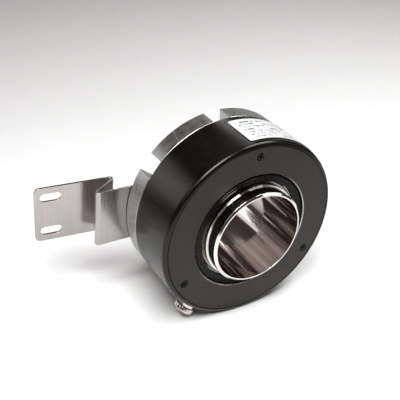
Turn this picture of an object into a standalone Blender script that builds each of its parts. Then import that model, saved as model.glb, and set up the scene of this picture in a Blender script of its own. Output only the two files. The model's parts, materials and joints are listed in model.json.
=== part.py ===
"""Hollow-shaft rotary encoder: 100 mm housing, 48 mm through bore, spring torque bracket.

Metres, +Z up. The shaft turns about the Y axis. The front face lies in the plane Y = 0 and looks
along -Y, so depths grow towards the rear. The origin is the centre of the bore in that plane.
Angles are read from the front: 0 points along +X and 90 along +Z.
"""

import math

import bmesh
import bpy
from mathutils import Matrix, Vector

MM = 0.001
GAP = 0.3 * MM  # clearance kept between two pieces that touch on the real object

# Driving dimensions: housing
HOUSING_RADIUS = 50.0 * MM
HOUSING_REAR = 29.3 * MM
HOUSING_WALL = 4.0 * MM
HOUSING_EDGE = 2.2 * MM  # radius of the rounded front edge
FACE_RADIUS = 47.5 * MM
FACE_THICKNESS = 3.0 * MM
FACE_OPENING = 32.5 * MM
FACE_SCREW_CIRCLE = 42.7 * MM
FACE_SCREW_ANGLES = (90, 210, 330)
FACE_SCREW_FLOOR = 2.0 * MM  # depth of the counterbores in the front face
FACE_SCREW_HEAD_HOLE = 2.0 * MM  # their radius

# Driving dimensions: base flange
FLANGE_FRONT = HOUSING_REAR + GAP
FLANGE_REAR = 39.9 * MM
SPIGOT_FRONT = 23.5 * MM
NOTCH_ANGLES = (44.3, 94.3, 144.3, 215.7, 265.7, 315.7)
NOTCH_WIDTH = 9.4 * MM
NOTCH_FLOOR = 40.5 * MM
FLANGE_BOLT_CIRCLE = 42.2 * MM
FLANGE_BOLT_ANGLES = (0, 120, 240)
FLANGE_BOLT_SEAT = FLANGE_REAR - 3.4 * MM
LIP_BORE = 33.3 * MM
LIP_FRONT = 36.5 * MM

# Driving dimensions: hollow shaft
BORE_RADIUS = 24.0 * MM
NOSE_RADIUS = 25.6 * MM
NOSE_LENGTH = 6.8 * MM
NOSE_CHAMFER = 0.9 * MM
COLLAR_RADIUS = 26.3 * MM
SEAT_RADIUS = 27.2 * MM
SHOULDER_RADIUS = 29.5 * MM
DISC_SEAT_REAR = 18.2 * MM
RETAINING_GROOVE = (34.5 * MM, 36.1 * MM)
CLAMP_SEAT_RADIUS = 26.3 * MM
CLAMP_SEAT_FRONT = 40.7 * MM
CLAMP_REAR = 49.4 * MM
SHAFT_REAR = 57.0 * MM

# Driving dimensions: 55 x 72 x 9 thin-section ball bearings
BEARING_BORE = 27.5 * MM
BEARING_OUTER = 36.0 * MM
BEARING_WIDTH = 9.0 * MM
BALL_RADIUS = 2.2 * MM
BALL_COUNT = 14
FRONT_BEARING_FRONT = FACE_THICKNESS + GAP
REAR_BEARING_FRONT = 25.2 * MM

# Driving dimensions: code disc, scanning head and board
DISC_RADIUS = 38.5 * MM
CARRIER_RADIUS = 33.0 * MM
TRACK_RADIUS = 36.0 * MM
HEAD_ANGLE = 30
DISC_FRONT = 15.6 * MM
DISC_THICKNESS = 1.1 * MM
BOARD_FRONT = 19.5 * MM
BOARD_THICKNESS = 1.6 * MM
BOARD_SCREW_CIRCLE = 40.0 * MM
BOARD_SCREW_ANGLES = (60, 180, 300)

# Driving dimensions: torque bracket, a folded strip of spring steel
STRIP_THICKNESS = 1.2 * MM
STRIP_HEIGHT = 31.2 * MM
STRIP_FOLD_RADIUS = 1.4 * MM
STRIP_PLAN = ((-34.2, 40.8), (-69.2, 40.8), (-49.7, 52.4), (-92.6, 56.6))  # mm along X and Y
SLOT_WIDTH = 4.5 * MM
SLOT_LENGTH = 11.0 * MM
SLOT_CENTRE_X = -84.2 * MM
SLOT_CENTRE_Z = 9.8 * MM
BRACKET_SCREW_X = -41.5 * MM
BRACKET_SCREW_Z = 9.0 * MM

# Driving dimensions: screws and the bosses that take them
M2, M3, M4 = 1.0 * MM, 1.5 * MM, 2.0 * MM  # thread radii
M2_HOLE, M3_HOLE, M4_HOLE = M2 + GAP, M3 + GAP, M4 + GAP
FACE_SCREW = (M2, 1.7 * MM, 1.6 * MM, 1.5 * MM)  # thread radius, head radius, head height, key
BOARD_SCREW = (M2, 1.9 * MM, 1.4 * MM, 1.5 * MM)
FLANGE_BOLT = (M3, 2.75 * MM, 2.8 * MM, 2.5 * MM)
CLAMP_SCREW = (M3, 2.7 * MM, 2.9 * MM, 2.5 * MM)
BRACKET_SCREW = (M4, 3.4 * MM, 2.6 * MM, 2.5 * MM)
M3_HEAD_HOLE = 3.1 * MM
BOSS_RADIUS = 3.6 * MM
BOSS_OFFSET = 0.6 * MM  # the boss reaches further out than its screw, into the wall
REAR_BOSS_FRONT = 15.5 * MM

# Driving dimensions: cable gland and type label
GLAND_ANGLE = 236
GLAND_DEPTH = 9.0 * MM
GLAND_THREAD_RADIUS = 4.0 * MM
GLAND_BORE = 2.7 * MM
GLAND_RADIUS = 5.5 * MM
GLAND_START = 42.4 * MM  # distances from the shaft axis
GLAND_END = 56.0 * MM
LABEL_FRONT = 4.0 * MM
LABEL_REAR = 25.2 * MM
LABEL_ANGLES = (30, 94.5)
LABEL_THICKNESS = 0.2 * MM

INNER_RADIUS = HOUSING_RADIUS - HOUSING_WALL
HUB_BORE = BEARING_OUTER + GAP
MAIN_AXIS = Matrix.Rotation(-math.pi / 2, 4, "X")  # local +Z becomes the shaft axis, towards the rear


# ---------------------------------------------------------------------------------------------
# Materials


def material(name, colour, roughness, metallic=0.0, alpha=1.0):
    """A Principled material of one colour."""
    made = bpy.data.materials.new(name)
    made.use_nodes = True
    shader = made.node_tree.nodes["Principled BSDF"]
    shader.inputs["Base Color"].default_value = (*colour, 1.0)
    shader.inputs["Roughness"].default_value = roughness
    shader.inputs["Metallic"].default_value = metallic
    shader.inputs["Alpha"].default_value = alpha
    made.diffuse_color = (*colour, alpha)
    return made


def make_materials():
    return {
        "black_anodised": material("black_anodised", (0.020, 0.020, 0.022), 0.42, 0.6),
        "turned_aluminium": material("turned_aluminium", (0.62, 0.62, 0.61), 0.34, 1.0),
        "polished_steel": material("polished_steel", (0.66, 0.64, 0.62), 0.10, 1.0),
        "bearing_steel": material("bearing_steel", (0.58, 0.58, 0.60), 0.16, 1.0),
        "spring_steel": material("spring_steel", (0.66, 0.63, 0.61), 0.24, 1.0),
        "black_screw": material("black_screw", (0.03, 0.03, 0.03), 0.45, 0.8),
        "zinc_screw": material("zinc_screw", (0.60, 0.60, 0.58), 0.30, 1.0),
        "nickel": material("nickel", (0.62, 0.57, 0.53), 0.20, 1.0),
        "brass": material("brass", (0.72, 0.52, 0.24), 0.30, 1.0),
        "rubber": material("rubber", (0.025, 0.025, 0.025), 0.80),
        "board": material("board", (0.02, 0.16, 0.07), 0.45),
        "chip": material("chip", (0.03, 0.03, 0.032), 0.55),
        "moulding": material("moulding", (0.75, 0.74, 0.70), 0.50),
        "disc_glass": material("disc_glass", (0.70, 0.80, 0.82), 0.05, 0.0, 0.4),
        "label": material("label", (0.86, 0.87, 0.87), 0.50),
    }


# ---------------------------------------------------------------------------------------------
# Modelling helpers


def polar(radius, angle, depth):
    """The point at a radius and an angle in degrees, at a depth behind the front face."""
    turn = math.radians(angle)
    return Vector((radius * math.cos(turn), depth, radius * math.sin(turn)))


def placed(location, direction):
    """The frame at a point whose local +Z runs along a direction."""
    return Matrix.Translation(location) @ Vector(direction).to_track_quat("Z", "Y").to_matrix().to_4x4()


def finish_object(name, bm, finish, place=None, smooth_under=35.0):
    """Turns a bmesh into a named object, outward-facing, smooth except at its sharp edges."""
    bmesh.ops.remove_doubles(bm, verts=bm.verts, dist=1e-6)
    bmesh.ops.recalc_face_normals(bm, faces=bm.faces)
    mesh = bpy.data.meshes.new(name)
    bm.to_mesh(mesh)
    bm.free()
    mesh.shade_smooth()
    mesh.set_sharp_from_angle(angle=math.radians(smooth_under))
    made = bpy.data.objects.new(name, mesh)
    bpy.context.scene.collection.objects.link(made)
    if finish is not None:
        mesh.materials.append(finish)
    if place is not None:
        made.matrix_world = place
    return made


def spun(profile, segments, closed=True):
    """A bmesh of a (radius, height) profile turned about local Z."""
    bm = bmesh.new()
    corners = [bm.verts.new((radius, 0.0, height)) for radius, height in profile]
    edges = [bm.edges.new(pair) for pair in zip(corners, corners[1:])]
    if closed:
        edges.append(bm.edges.new((corners[-1], corners[0])))
    bmesh.ops.spin(
        bm, geom=corners + edges, cent=(0, 0, 0), axis=(0, 0, 1),
        angle=2 * math.pi, steps=segments, use_merge=True,
    )
    bmesh.ops.remove_doubles(bm, verts=bm.verts, dist=1e-6)
    return bm


def turned(name, profile, finish, segments=36, place=MAIN_AXIS):
    """A ring: a closed (radius, height) profile that stays clear of the axis."""
    return finish_object(name, spun(profile, segments), finish, place)


def solid_turned(name, profile, finish, segments=20, place=MAIN_AXIS):
    """A turned body whose profile starts and ends on its axis."""
    return finish_object(name, spun(profile, segments, closed=False), finish, place)


def prism(outline, low, high):
    """A bmesh of a flat (x, y) outline extruded along local Z from low to high."""
    bm = bmesh.new()
    base = bm.faces.new([bm.verts.new((x, y, low)) for x, y in outline])
    top = bmesh.ops.extrude_face_region(bm, geom=[base])["geom"]
    moved = [v for v in top if isinstance(v, bmesh.types.BMVert)]
    bmesh.ops.translate(bm, vec=(0, 0, high - low), verts=moved)
    return bm


def front_prism(name, outline, front, rear, finish):
    """An outline drawn as seen from the front, in X and Z, that runs from one depth to another."""
    flipped = [(x, -z) for x, z in outline]
    return finish_object(name, prism(flipped, front, rear), finish, MAIN_AXIS)


def regular_outline(across_flats, sides=6, turn=0.0):
    """A regular polygon about the origin."""
    corner = across_flats / 2 / math.cos(math.pi / sides)
    steps = [turn + 2 * math.pi * i / sides for i in range(sides)]
    return [(corner * math.cos(a), corner * math.sin(a)) for a in steps]


def arc(radius, start, end, steps, centre=(0.0, 0.0)):
    """Points of an arc between two angles in degrees."""
    turns = [math.radians(start + (end - start) * i / steps) for i in range(steps + 1)]
    return [(centre[0] + radius * math.cos(t), centre[1] + radius * math.sin(t)) for t in turns]


def sector(inner, outer, start, end, steps):
    """The outline of a stretch of ring."""
    return arc(outer, start, end, steps) + arc(inner, end, start, steps)


def stadium(length, width, centre):
    """A slot outline along X with round ends."""
    half = (length - width) / 2
    right = arc(width / 2, -90, 90, 8, (centre[0] + half, centre[1]))
    left = arc(width / 2, 90, 270, 8, (centre[0] - half, centre[1]))
    return right + left


def tool(made):
    """Marks an object as a cutter or a joining shape that isn't a piece of its own."""
    made.hide_render = True
    made.display_type = "WIRE"
    return made


def combine(target, shape, operation):
    change = target.modifiers.new(f"{operation.lower()}_{shape.name}", "BOOLEAN")
    change.operation = operation
    change.solver = "EXACT"
    change.object = tool(shape)


def cut(target, shape):
    combine(target, shape, "DIFFERENCE")


def join(target, shape):
    combine(target, shape, "UNION")


def pins(name, radius, front, rear, circle, angles, segments=16):
    """Cylinders parallel to the shaft, on a circle, as one shape for a Boolean."""
    bm = bmesh.new()
    turn = Matrix.Rotation(math.radians(7), 4, "Z")  # keeps corners off the facet lines of the rings
    for angle in angles:
        middle = placed(polar(circle, angle, (front + rear) / 2), (0, 1, 0)) @ turn
        bmesh.ops.create_cone(
            bm, cap_ends=True, segments=segments, radius1=radius, radius2=radius,
            depth=rear - front, matrix=middle,
        )
    return finish_object(name, bm, None)


def seat_frame(radius, angle, depth):
    """The frame at a polar point: local X runs outwards, Y sideways and Z towards the rear."""
    outwards = polar(1.0, angle, 0.0)
    sideways = Vector((0, 1, 0)).cross(outwards)
    turn = Matrix((outwards, sideways, (0, 1, 0))).transposed().to_4x4()
    return Matrix.Translation(polar(radius, angle, depth)) @ turn


def boxes(size, places):
    """A bmesh of equal boxes, each in its own frame."""
    bm = bmesh.new()
    for place in places:
        bmesh.ops.create_cube(bm, size=1.0, matrix=place @ Matrix.Diagonal((*size, 1.0)))
    return bm


def block(name, size, radius, angle, depth, finish, edge=0.2 * MM):
    """A box with bevelled edges. Its size is radial, sideways, axial, and depth is its middle."""
    bm = boxes(size, [Matrix.Identity(4)])
    bmesh.ops.bevel(bm, geom=bm.edges[:], offset=edge, segments=1, affect="EDGES")
    return finish_object(name, bm, finish, seat_frame(radius, angle, depth))


def rod(name, radius, low, high, place, segments=16):
    """A cylinder along the local Z of a frame, to cut with."""
    profile = [(0.0, low), (radius, low), (radius, high), (0.0, high)]
    return solid_turned(name, profile, None, segments, place)


def socket_screw(name, finish, place, size, length):
    """A screw with a hexagon socket. Local Z points out of the head, whose seat is at zero."""
    thread, head, head_height, key = size
    chamfer = 0.2 * MM
    tip = [(0.0, -length), (thread - chamfer, -length), (thread, -length + chamfer)]
    side = [(thread, 0.0), (head, 0.0), (head, head_height - chamfer), (head - chamfer, head_height)]
    screw = solid_turned(name, tip + side + [(0.0, head_height)], finish, 12, place)
    socket_floor = 0.4 * head_height
    socket = prism(regular_outline(key), socket_floor, head_height + MM)
    cut(screw, finish_object(f"{name}_socket", socket, None, place))
    return screw


# ---------------------------------------------------------------------------------------------
# Housing: shell, front plate, base flange


def make_housing_shell(finish):
    edge = arc(HOUSING_EDGE, 0, -90, 3, (HOUSING_RADIUS - HOUSING_EDGE, HOUSING_EDGE))
    recess = FACE_RADIUS + GAP
    ledge = FACE_THICKNESS + GAP
    profile = [(HOUSING_RADIUS, HOUSING_REAR)] + edge
    profile[-1] = (recess + 0.1 * MM, 0.0)
    profile += [(recess, 0.1 * MM), (recess, ledge), (INNER_RADIUS, ledge), (INNER_RADIUS, HOUSING_REAR)]
    shell = turned("housing_shell", profile, finish, 48)

    front_boss_end = 12.0 * MM
    front_hole_end = 10.5 * MM
    rear_hole_end = REAR_BOSS_FRONT + 1.3 * MM
    join(shell, pins("front_bosses", BOSS_RADIUS, ledge, front_boss_end,
                     FACE_SCREW_CIRCLE + BOSS_OFFSET, FACE_SCREW_ANGLES))
    join(shell, pins("rear_bosses", BOSS_RADIUS, REAR_BOSS_FRONT, SPIGOT_FRONT - GAP,
                     FLANGE_BOLT_CIRCLE + BOSS_OFFSET, FLANGE_BOLT_ANGLES))
    cut(shell, pins("front_threads", M2_HOLE, ledge - MM, front_hole_end, FACE_SCREW_CIRCLE,
                    FACE_SCREW_ANGLES, 12))
    cut(shell, pins("rear_threads", M3_HOLE, rear_hole_end, SPIGOT_FRONT + MM, FLANGE_BOLT_CIRCLE,
                    FLANGE_BOLT_ANGLES, 12))
    middle = HOUSING_RADIUS - HOUSING_WALL / 2
    reach = HOUSING_WALL
    place = placed(polar(middle, GLAND_ANGLE, GLAND_DEPTH), polar(1.0, GLAND_ANGLE, 0.0))
    cut(shell, rod("gland_hole", GLAND_THREAD_RADIUS + GAP, -reach, reach, place, 20))
    return shell


def make_front_plate(finish):
    hub_wall = 2.7 * MM
    hub_rear = 12.6 * MM
    chamfer = 0.4 * MM
    profile = [
        (FACE_RADIUS, FACE_THICKNESS), (FACE_RADIUS, 0.2 * MM), (FACE_RADIUS - 0.2 * MM, 0.0),
        (FACE_OPENING + chamfer, 0.0), (FACE_OPENING, chamfer), (FACE_OPENING, FACE_THICKNESS),
        (HUB_BORE, FACE_THICKNESS), (HUB_BORE, hub_rear), (HUB_BORE + hub_wall, hub_rear),
        (HUB_BORE + hub_wall, FACE_THICKNESS),
    ]
    plate = turned("front_plate", profile, finish, 40)
    cut(plate, pins("face_screw_counterbores", FACE_SCREW_HEAD_HOLE, -MM, FACE_SCREW_FLOOR,
                    FACE_SCREW_CIRCLE, FACE_SCREW_ANGLES))
    cut(plate, pins("face_screw_holes", M2_HOLE, MM, FACE_THICKNESS + MM, FACE_SCREW_CIRCLE,
                    FACE_SCREW_ANGLES, 12))
    return plate


def make_front_screws(finish):
    for i, angle in enumerate(FACE_SCREW_ANGLES, 1):
        place = placed(polar(FACE_SCREW_CIRCLE, angle, FACE_SCREW_FLOOR - GAP), (0, -1, 0))
        socket_screw(f"front_screw_{i}", finish, place, FACE_SCREW, 7.5 * MM)


def make_base_flange(finish):
    rim = HOUSING_RADIUS - 0.2 * MM
    spigot = INNER_RADIUS - GAP
    groove_floor = 44.4 * MM
    groove_front = 26.2 * MM
    groove_rear = 27.6 * MM
    chamfer = 0.5 * MM
    profile = [
        (rim, FLANGE_REAR), (rim, FLANGE_FRONT + chamfer), (rim - chamfer, FLANGE_FRONT),
        (spigot, FLANGE_FRONT), (spigot, groove_rear), (groove_floor, groove_rear),
        (groove_floor, groove_front), (spigot, groove_front), (spigot, SPIGOT_FRONT),
        (HUB_BORE, SPIGOT_FRONT), (HUB_BORE, LIP_FRONT), (LIP_BORE, LIP_FRONT), (LIP_BORE, FLANGE_REAR),
    ]
    flange = turned("base_flange", profile, finish, 48)

    past = 14 * MM
    middle = (FLANGE_FRONT + FLANGE_REAR) / 2
    places = [seat_frame(NOTCH_FLOOR + past / 2, angle, middle) for angle in NOTCH_ANGLES]
    notch = (past, NOTCH_WIDTH, FLANGE_REAR - FLANGE_FRONT + MM)
    cut(flange, finish_object("notches", boxes(notch, places), None))
    cut(flange, pins("bolt_holes", M3_HOLE, SPIGOT_FRONT - MM, FLANGE_REAR + MM, FLANGE_BOLT_CIRCLE,
                     FLANGE_BOLT_ANGLES, 12))
    cut(flange, pins("bolt_counterbores", M3_HEAD_HOLE, FLANGE_BOLT_SEAT, FLANGE_REAR + MM,
                     FLANGE_BOLT_CIRCLE, FLANGE_BOLT_ANGLES))
    board_thread_end = 29 * MM
    cut(flange, pins("board_screw_threads", M2_HOLE, SPIGOT_FRONT - MM, board_thread_end,
                     BOARD_SCREW_CIRCLE, BOARD_SCREW_ANGLES, 12))
    bracket_thread_end = 31 * MM
    radius = math.hypot(BRACKET_SCREW_X, BRACKET_SCREW_Z)
    lean = math.degrees(math.atan2(BRACKET_SCREW_Z, -BRACKET_SCREW_X))
    cut(flange, pins("bracket_threads", M4_HOLE, bracket_thread_end, FLANGE_REAR + MM, radius,
                     (180 - lean, 180 + lean), 12))
    return flange


def make_flange_bolts(finish):
    for i, angle in enumerate(FLANGE_BOLT_ANGLES, 1):
        place = placed(polar(FLANGE_BOLT_CIRCLE, angle, FLANGE_BOLT_SEAT + GAP), (0, 1, 0))
        socket_screw(f"flange_bolt_{i}", finish, place, FLANGE_BOLT, 19.5 * MM)


def make_seals(finishes):
    section = arc(0.5 * MM, 0, 288, 4, (45.2 * MM, 26.9 * MM))
    turned("flange_o_ring", section[::-1], finishes["rubber"])

    seal_bore = 27.9 * MM
    outer = FACE_OPENING - GAP
    lip_edge = 29.8 * MM
    front, rear = 0.9 * MM, 2.7 * MM
    lip = (seal_bore, front + 0.3 * MM)
    profile = [(outer, rear), (outer, front), (lip_edge, front), lip, (seal_bore, rear)]
    turned("front_seal_ring", profile, finishes["black_anodised"])
    outer = LIP_BORE - GAP
    chamfer = 0.5 * MM
    front, rear = LIP_FRONT + chamfer, 39.5 * MM
    lip = [(seal_bore, rear - chamfer), (seal_bore + chamfer, rear)]
    profile = [(outer, rear), (outer, front), (seal_bore, front)] + lip
    turned("rear_seal_ring", profile, finishes["black_anodised"])


def make_wave_spring(finish):
    inner, outer, half = 33.5 * MM, 35.8 * MM, 0.2 * MM
    middle, swing, waves = 35.35 * MM, 0.5 * MM, 4
    bm = spun([(outer, half), (outer, -half), (inner, -half), (inner, half)], 36)
    for vertex in bm.verts:
        around = math.atan2(vertex.co.y, vertex.co.x)
        vertex.co.z += middle + swing * math.sin(waves * around)
    finish_object("wave_spring", bm, finish, MAIN_AXIS)


# ---------------------------------------------------------------------------------------------
# Rotor: hollow shaft, bearings, code disc, clamp


def make_hollow_shaft(finish):
    relief = 27.0 * MM
    collar = (0.1 * MM, FACE_THICKNESS - 0.1 * MM)
    bearing_face = REAR_BEARING_FRONT - GAP
    groove_front, groove_rear = RETAINING_GROOVE
    profile = [
        (BORE_RADIUS, SHAFT_REAR), (CLAMP_SEAT_RADIUS, SHAFT_REAR), (CLAMP_SEAT_RADIUS, CLAMP_SEAT_FRONT),
        (relief, CLAMP_SEAT_FRONT), (relief, groove_rear), (CLAMP_SEAT_RADIUS, groove_rear),
        (CLAMP_SEAT_RADIUS, groove_front), (SEAT_RADIUS, groove_front), (SEAT_RADIUS, bearing_face),
        (SHOULDER_RADIUS, bearing_face), (SHOULDER_RADIUS, DISC_SEAT_REAR), (SEAT_RADIUS, DISC_SEAT_REAR),
        (SEAT_RADIUS, collar[1]), (COLLAR_RADIUS, collar[1]), (COLLAR_RADIUS, collar[0]),
        (NOSE_RADIUS, collar[0]), (NOSE_RADIUS, -NOSE_LENGTH + NOSE_CHAMFER),
        (NOSE_RADIUS - NOSE_CHAMFER, -NOSE_LENGTH), (BORE_RADIUS, -NOSE_LENGTH),
    ]
    shaft = turned("hollow_shaft", profile, finish, 40)
    slit_front = 42.5 * MM
    slit = (6 * MM, 1.4 * MM, SHAFT_REAR - slit_front + 2 * MM)
    places = [seat_frame(25.0 * MM, angle, slit_front + slit[2] / 2) for angle in (45, 135, 225, 315)]
    cut(shaft, finish_object("shaft_slits", boxes(slit, places), None))
    return shaft


def make_bearing(prefix, front, finishes):
    """Inner ring, outer ring, and the cage with its balls."""
    middle = front + BEARING_WIDTH / 2
    rear = front + BEARING_WIDTH
    pitch = (BEARING_BORE + BEARING_OUTER) / 2
    land = 1.45 * MM
    race = BALL_RADIUS + GAP
    shoulder, floor = 1.6 * MM, 0.8 * MM  # half widths of the groove at its edge and at its floor
    for side, wall, name in ((-1, BEARING_BORE, "inner"), (1, BEARING_OUTER, "outer")):
        land_radius = pitch + side * land
        race_radius = pitch + side * race
        profile = [
            (wall, rear), (wall, front), (land_radius, front), (land_radius, middle - shoulder),
            (race_radius, middle - floor), (race_radius, middle + floor),
            (land_radius, middle + shoulder), (land_radius, rear),
        ]
        turned(f"{prefix}_bearing_{name}_ring", profile, finishes["bearing_steel"], 32)
    make_cage(f"{prefix}_bearing_cage", pitch, middle, finishes["brass"])


def make_cage(name, pitch, middle, finish):
    """The cage with its balls, as one ring of hexagonal section that swells at each ball."""
    corners = 6
    reach = 0.85 * BALL_RADIUS
    sections = []
    for ball in range(BALL_COUNT):
        for along, size in ((-reach, 0.4), (0.0, 1.0), (reach, 0.4)):
            around = 2 * math.pi * ball / BALL_COUNT + along / pitch
            section = []
            for side in range(corners):
                turn = 2 * math.pi * side / corners
                radius = pitch + size * BALL_RADIUS * math.cos(turn)
                height = middle + size * BALL_RADIUS * math.sin(turn)
                section.append((radius * math.cos(around), radius * math.sin(around), height))
            sections.append(section)
    bm = bmesh.new()
    rings = [[bm.verts.new(point) for point in section] for section in sections]
    for i, ring in enumerate(rings):
        following = rings[(i + 1) % len(rings)]
        for side in range(corners):
            across = (side + 1) % corners
            bm.faces.new((ring[side], ring[across], following[across], following[side]))
    finish_object(name, bm, finish, MAIN_AXIS)


def make_disc_group(finishes):
    hub_front = FRONT_BEARING_FRONT + BEARING_WIDTH + GAP
    hub_rear = DISC_SEAT_REAR - GAP
    carrier_front = hub_front + MM
    carrier_rear = DISC_FRONT - GAP
    hub = [(BEARING_BORE, hub_rear), (BEARING_BORE, hub_front), (SHOULDER_RADIUS, hub_front)]
    carrier = [(SHOULDER_RADIUS, carrier_front), (CARRIER_RADIUS, carrier_front),
               (CARRIER_RADIUS, carrier_rear), (SHOULDER_RADIUS, carrier_rear)]
    turned("disc_hub", hub + carrier + [(SHOULDER_RADIUS, hub_rear)], finishes["turned_aluminium"])
    inner = SHOULDER_RADIUS + GAP
    disc_rear = DISC_FRONT + DISC_THICKNESS
    profile = [(DISC_RADIUS, disc_rear), (DISC_RADIUS, DISC_FRONT), (inner, DISC_FRONT), (inner, disc_rear)]
    turned("code_disc", profile, finishes["disc_glass"], 48)
    front, rear = disc_rear + GAP, 18.4 * MM
    profile = [(CARRIER_RADIUS, rear), (CARRIER_RADIUS, front), (inner, front), (inner, rear)]
    turned("disc_clamp_ring", profile, finishes["brass"])


def make_retaining_ring(finish):
    inner, outer = CLAMP_SEAT_RADIUS + GAP, 29.4 * MM
    front, rear = RETAINING_GROOVE[0] + GAP, RETAINING_GROOVE[1] - GAP
    front_prism("retaining_ring", sector(inner, outer, 18, 342, 32), front, rear, finish)


def make_clamp_ring(finishes):
    inner, outer = CLAMP_SEAT_RADIUS + GAP, 33.0 * MM
    front, rear = CLAMP_SEAT_FRONT + GAP, CLAMP_REAR
    edge = 0.5 * MM
    ring = turned(
        "clamp_ring",
        [(outer - edge, rear), (outer, rear - edge), (outer, front + edge), (outer - edge, front),
         (inner, front), (inner, rear)],
        finishes["turned_aluminium"],
    )
    screw_x = 29.9 * MM
    split = 1.6 * MM
    past = 20 * MM
    middle = Vector((screw_x, (front + rear) / 2, 0.0))
    opening = boxes((12 * MM, 12 * MM, split), [Matrix.Translation(middle)])
    cut(ring, finish_object("clamp_split", opening, None))
    head_seat = 5.6 * MM
    upwards = placed(middle, (0, 0, 1))
    cut(ring, rod("clamp_screw_hole", M3_HOLE, -past, past, upwards))
    cut(ring, rod("clamp_head_hole", M3_HEAD_HOLE, head_seat, past, upwards))
    place = placed(middle + Vector((0, 0, head_seat + GAP)), (0, 0, 1))
    socket_screw("clamp_screw", finishes["zinc_screw"], place, CLAMP_SCREW, 15 * MM)


# ---------------------------------------------------------------------------------------------
# Scanning head and electronics


def make_main_board(finish):
    outer = INNER_RADIUS - 0.5 * MM
    inner = SHOULDER_RADIUS + MM
    rear = BOARD_FRONT + BOARD_THICKNESS
    profile = [(outer, rear), (outer, BOARD_FRONT), (inner, BOARD_FRONT), (inner, rear)]
    board = turned("main_board", profile, finish, 48)
    cut(board, pins("boss_clearance", BOSS_RADIUS + 2 * GAP, BOARD_FRONT - MM, rear + MM,
                    FLANGE_BOLT_CIRCLE + BOSS_OFFSET, FLANGE_BOLT_ANGLES, 12))
    cut(board, pins("board_holes", M2_HOLE, BOARD_FRONT - MM, rear + MM, BOARD_SCREW_CIRCLE,
                    BOARD_SCREW_ANGLES, 12))
    return board


def make_board_fixings(finishes):
    front = BOARD_FRONT + BOARD_THICKNESS + GAP
    rear = SPIGOT_FRONT - GAP
    outer = 2.3 * MM
    for i, angle in enumerate(BOARD_SCREW_ANGLES, 1):
        place = placed(polar(BOARD_SCREW_CIRCLE, angle, 0.0), (0, 1, 0))
        turned(f"board_standoff_{i}",
               [(outer, rear), (outer, front), (M2_HOLE, front), (M2_HOLE, rear)],
               finishes["brass"], 12, place)
        seat = placed(polar(BOARD_SCREW_CIRCLE, angle, BOARD_FRONT - GAP), (0, -1, 0))
        socket_screw(f"board_screw_{i}", finishes["zinc_screw"], seat, BOARD_SCREW, 8.0 * MM)


def make_scanning_head(finishes):
    """Light source in front of the code disc, mask and photo-sensor behind it, all at one angle."""
    holder_radius, holder_depth, lens_depth = 36.4 * MM, 13.5 * MM, 14.8 * MM
    block("led_holder", (5.4 * MM, 9.0 * MM, 1.2 * MM), holder_radius, HEAD_ANGLE, holder_depth,
          finishes["moulding"])
    block("led_lens", (3.2 * MM, 3.2 * MM, 0.8 * MM), TRACK_RADIUS, HEAD_ANGLE, lens_depth,
          finishes["disc_glass"])
    mask_thickness = 0.7 * MM
    mask_front = DISC_FRONT + DISC_THICKNESS + GAP
    block("mask_plate", (4.4 * MM, 7.0 * MM, mask_thickness), TRACK_RADIUS, HEAD_ANGLE,
          mask_front + mask_thickness / 2, finishes["disc_glass"], 0.1 * MM)
    front, rear = mask_front + mask_thickness + GAP, BOARD_FRONT - GAP
    block("sensor_chip", (5.0 * MM, 8.0 * MM, rear - front), TRACK_RADIUS, HEAD_ANGLE, (front + rear) / 2,
          finishes["chip"])


def make_board_parts(finishes):
    """Larger parts on the front of the board, in the free ring outside the code disc."""
    seat = BOARD_FRONT - GAP
    parts_circle = 42.6 * MM
    parts = (
        ("processor_chip", (5.6, 7.0, 1.2), 90, "chip"),
        ("line_driver_chip", (4.6, 9.0, 1.5), 150, "chip"),
        ("regulator_chip", (5.0, 6.0, 1.8), 205, "chip"),
        ("cable_header", (5.0, 12.0, 5.0), 262, "moulding"),
        ("filter_capacitor", (5.0, 5.0, 4.6), 325, "zinc_screw"),
    )
    for name, size, angle, finish in parts:
        radial, across, height = (side * MM for side in size)
        block(name, (radial, across, height), parts_circle, angle, seat - height / 2,
              finishes[finish], 0.3 * MM)


# ---------------------------------------------------------------------------------------------
# Cable gland, torque bracket, label


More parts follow.
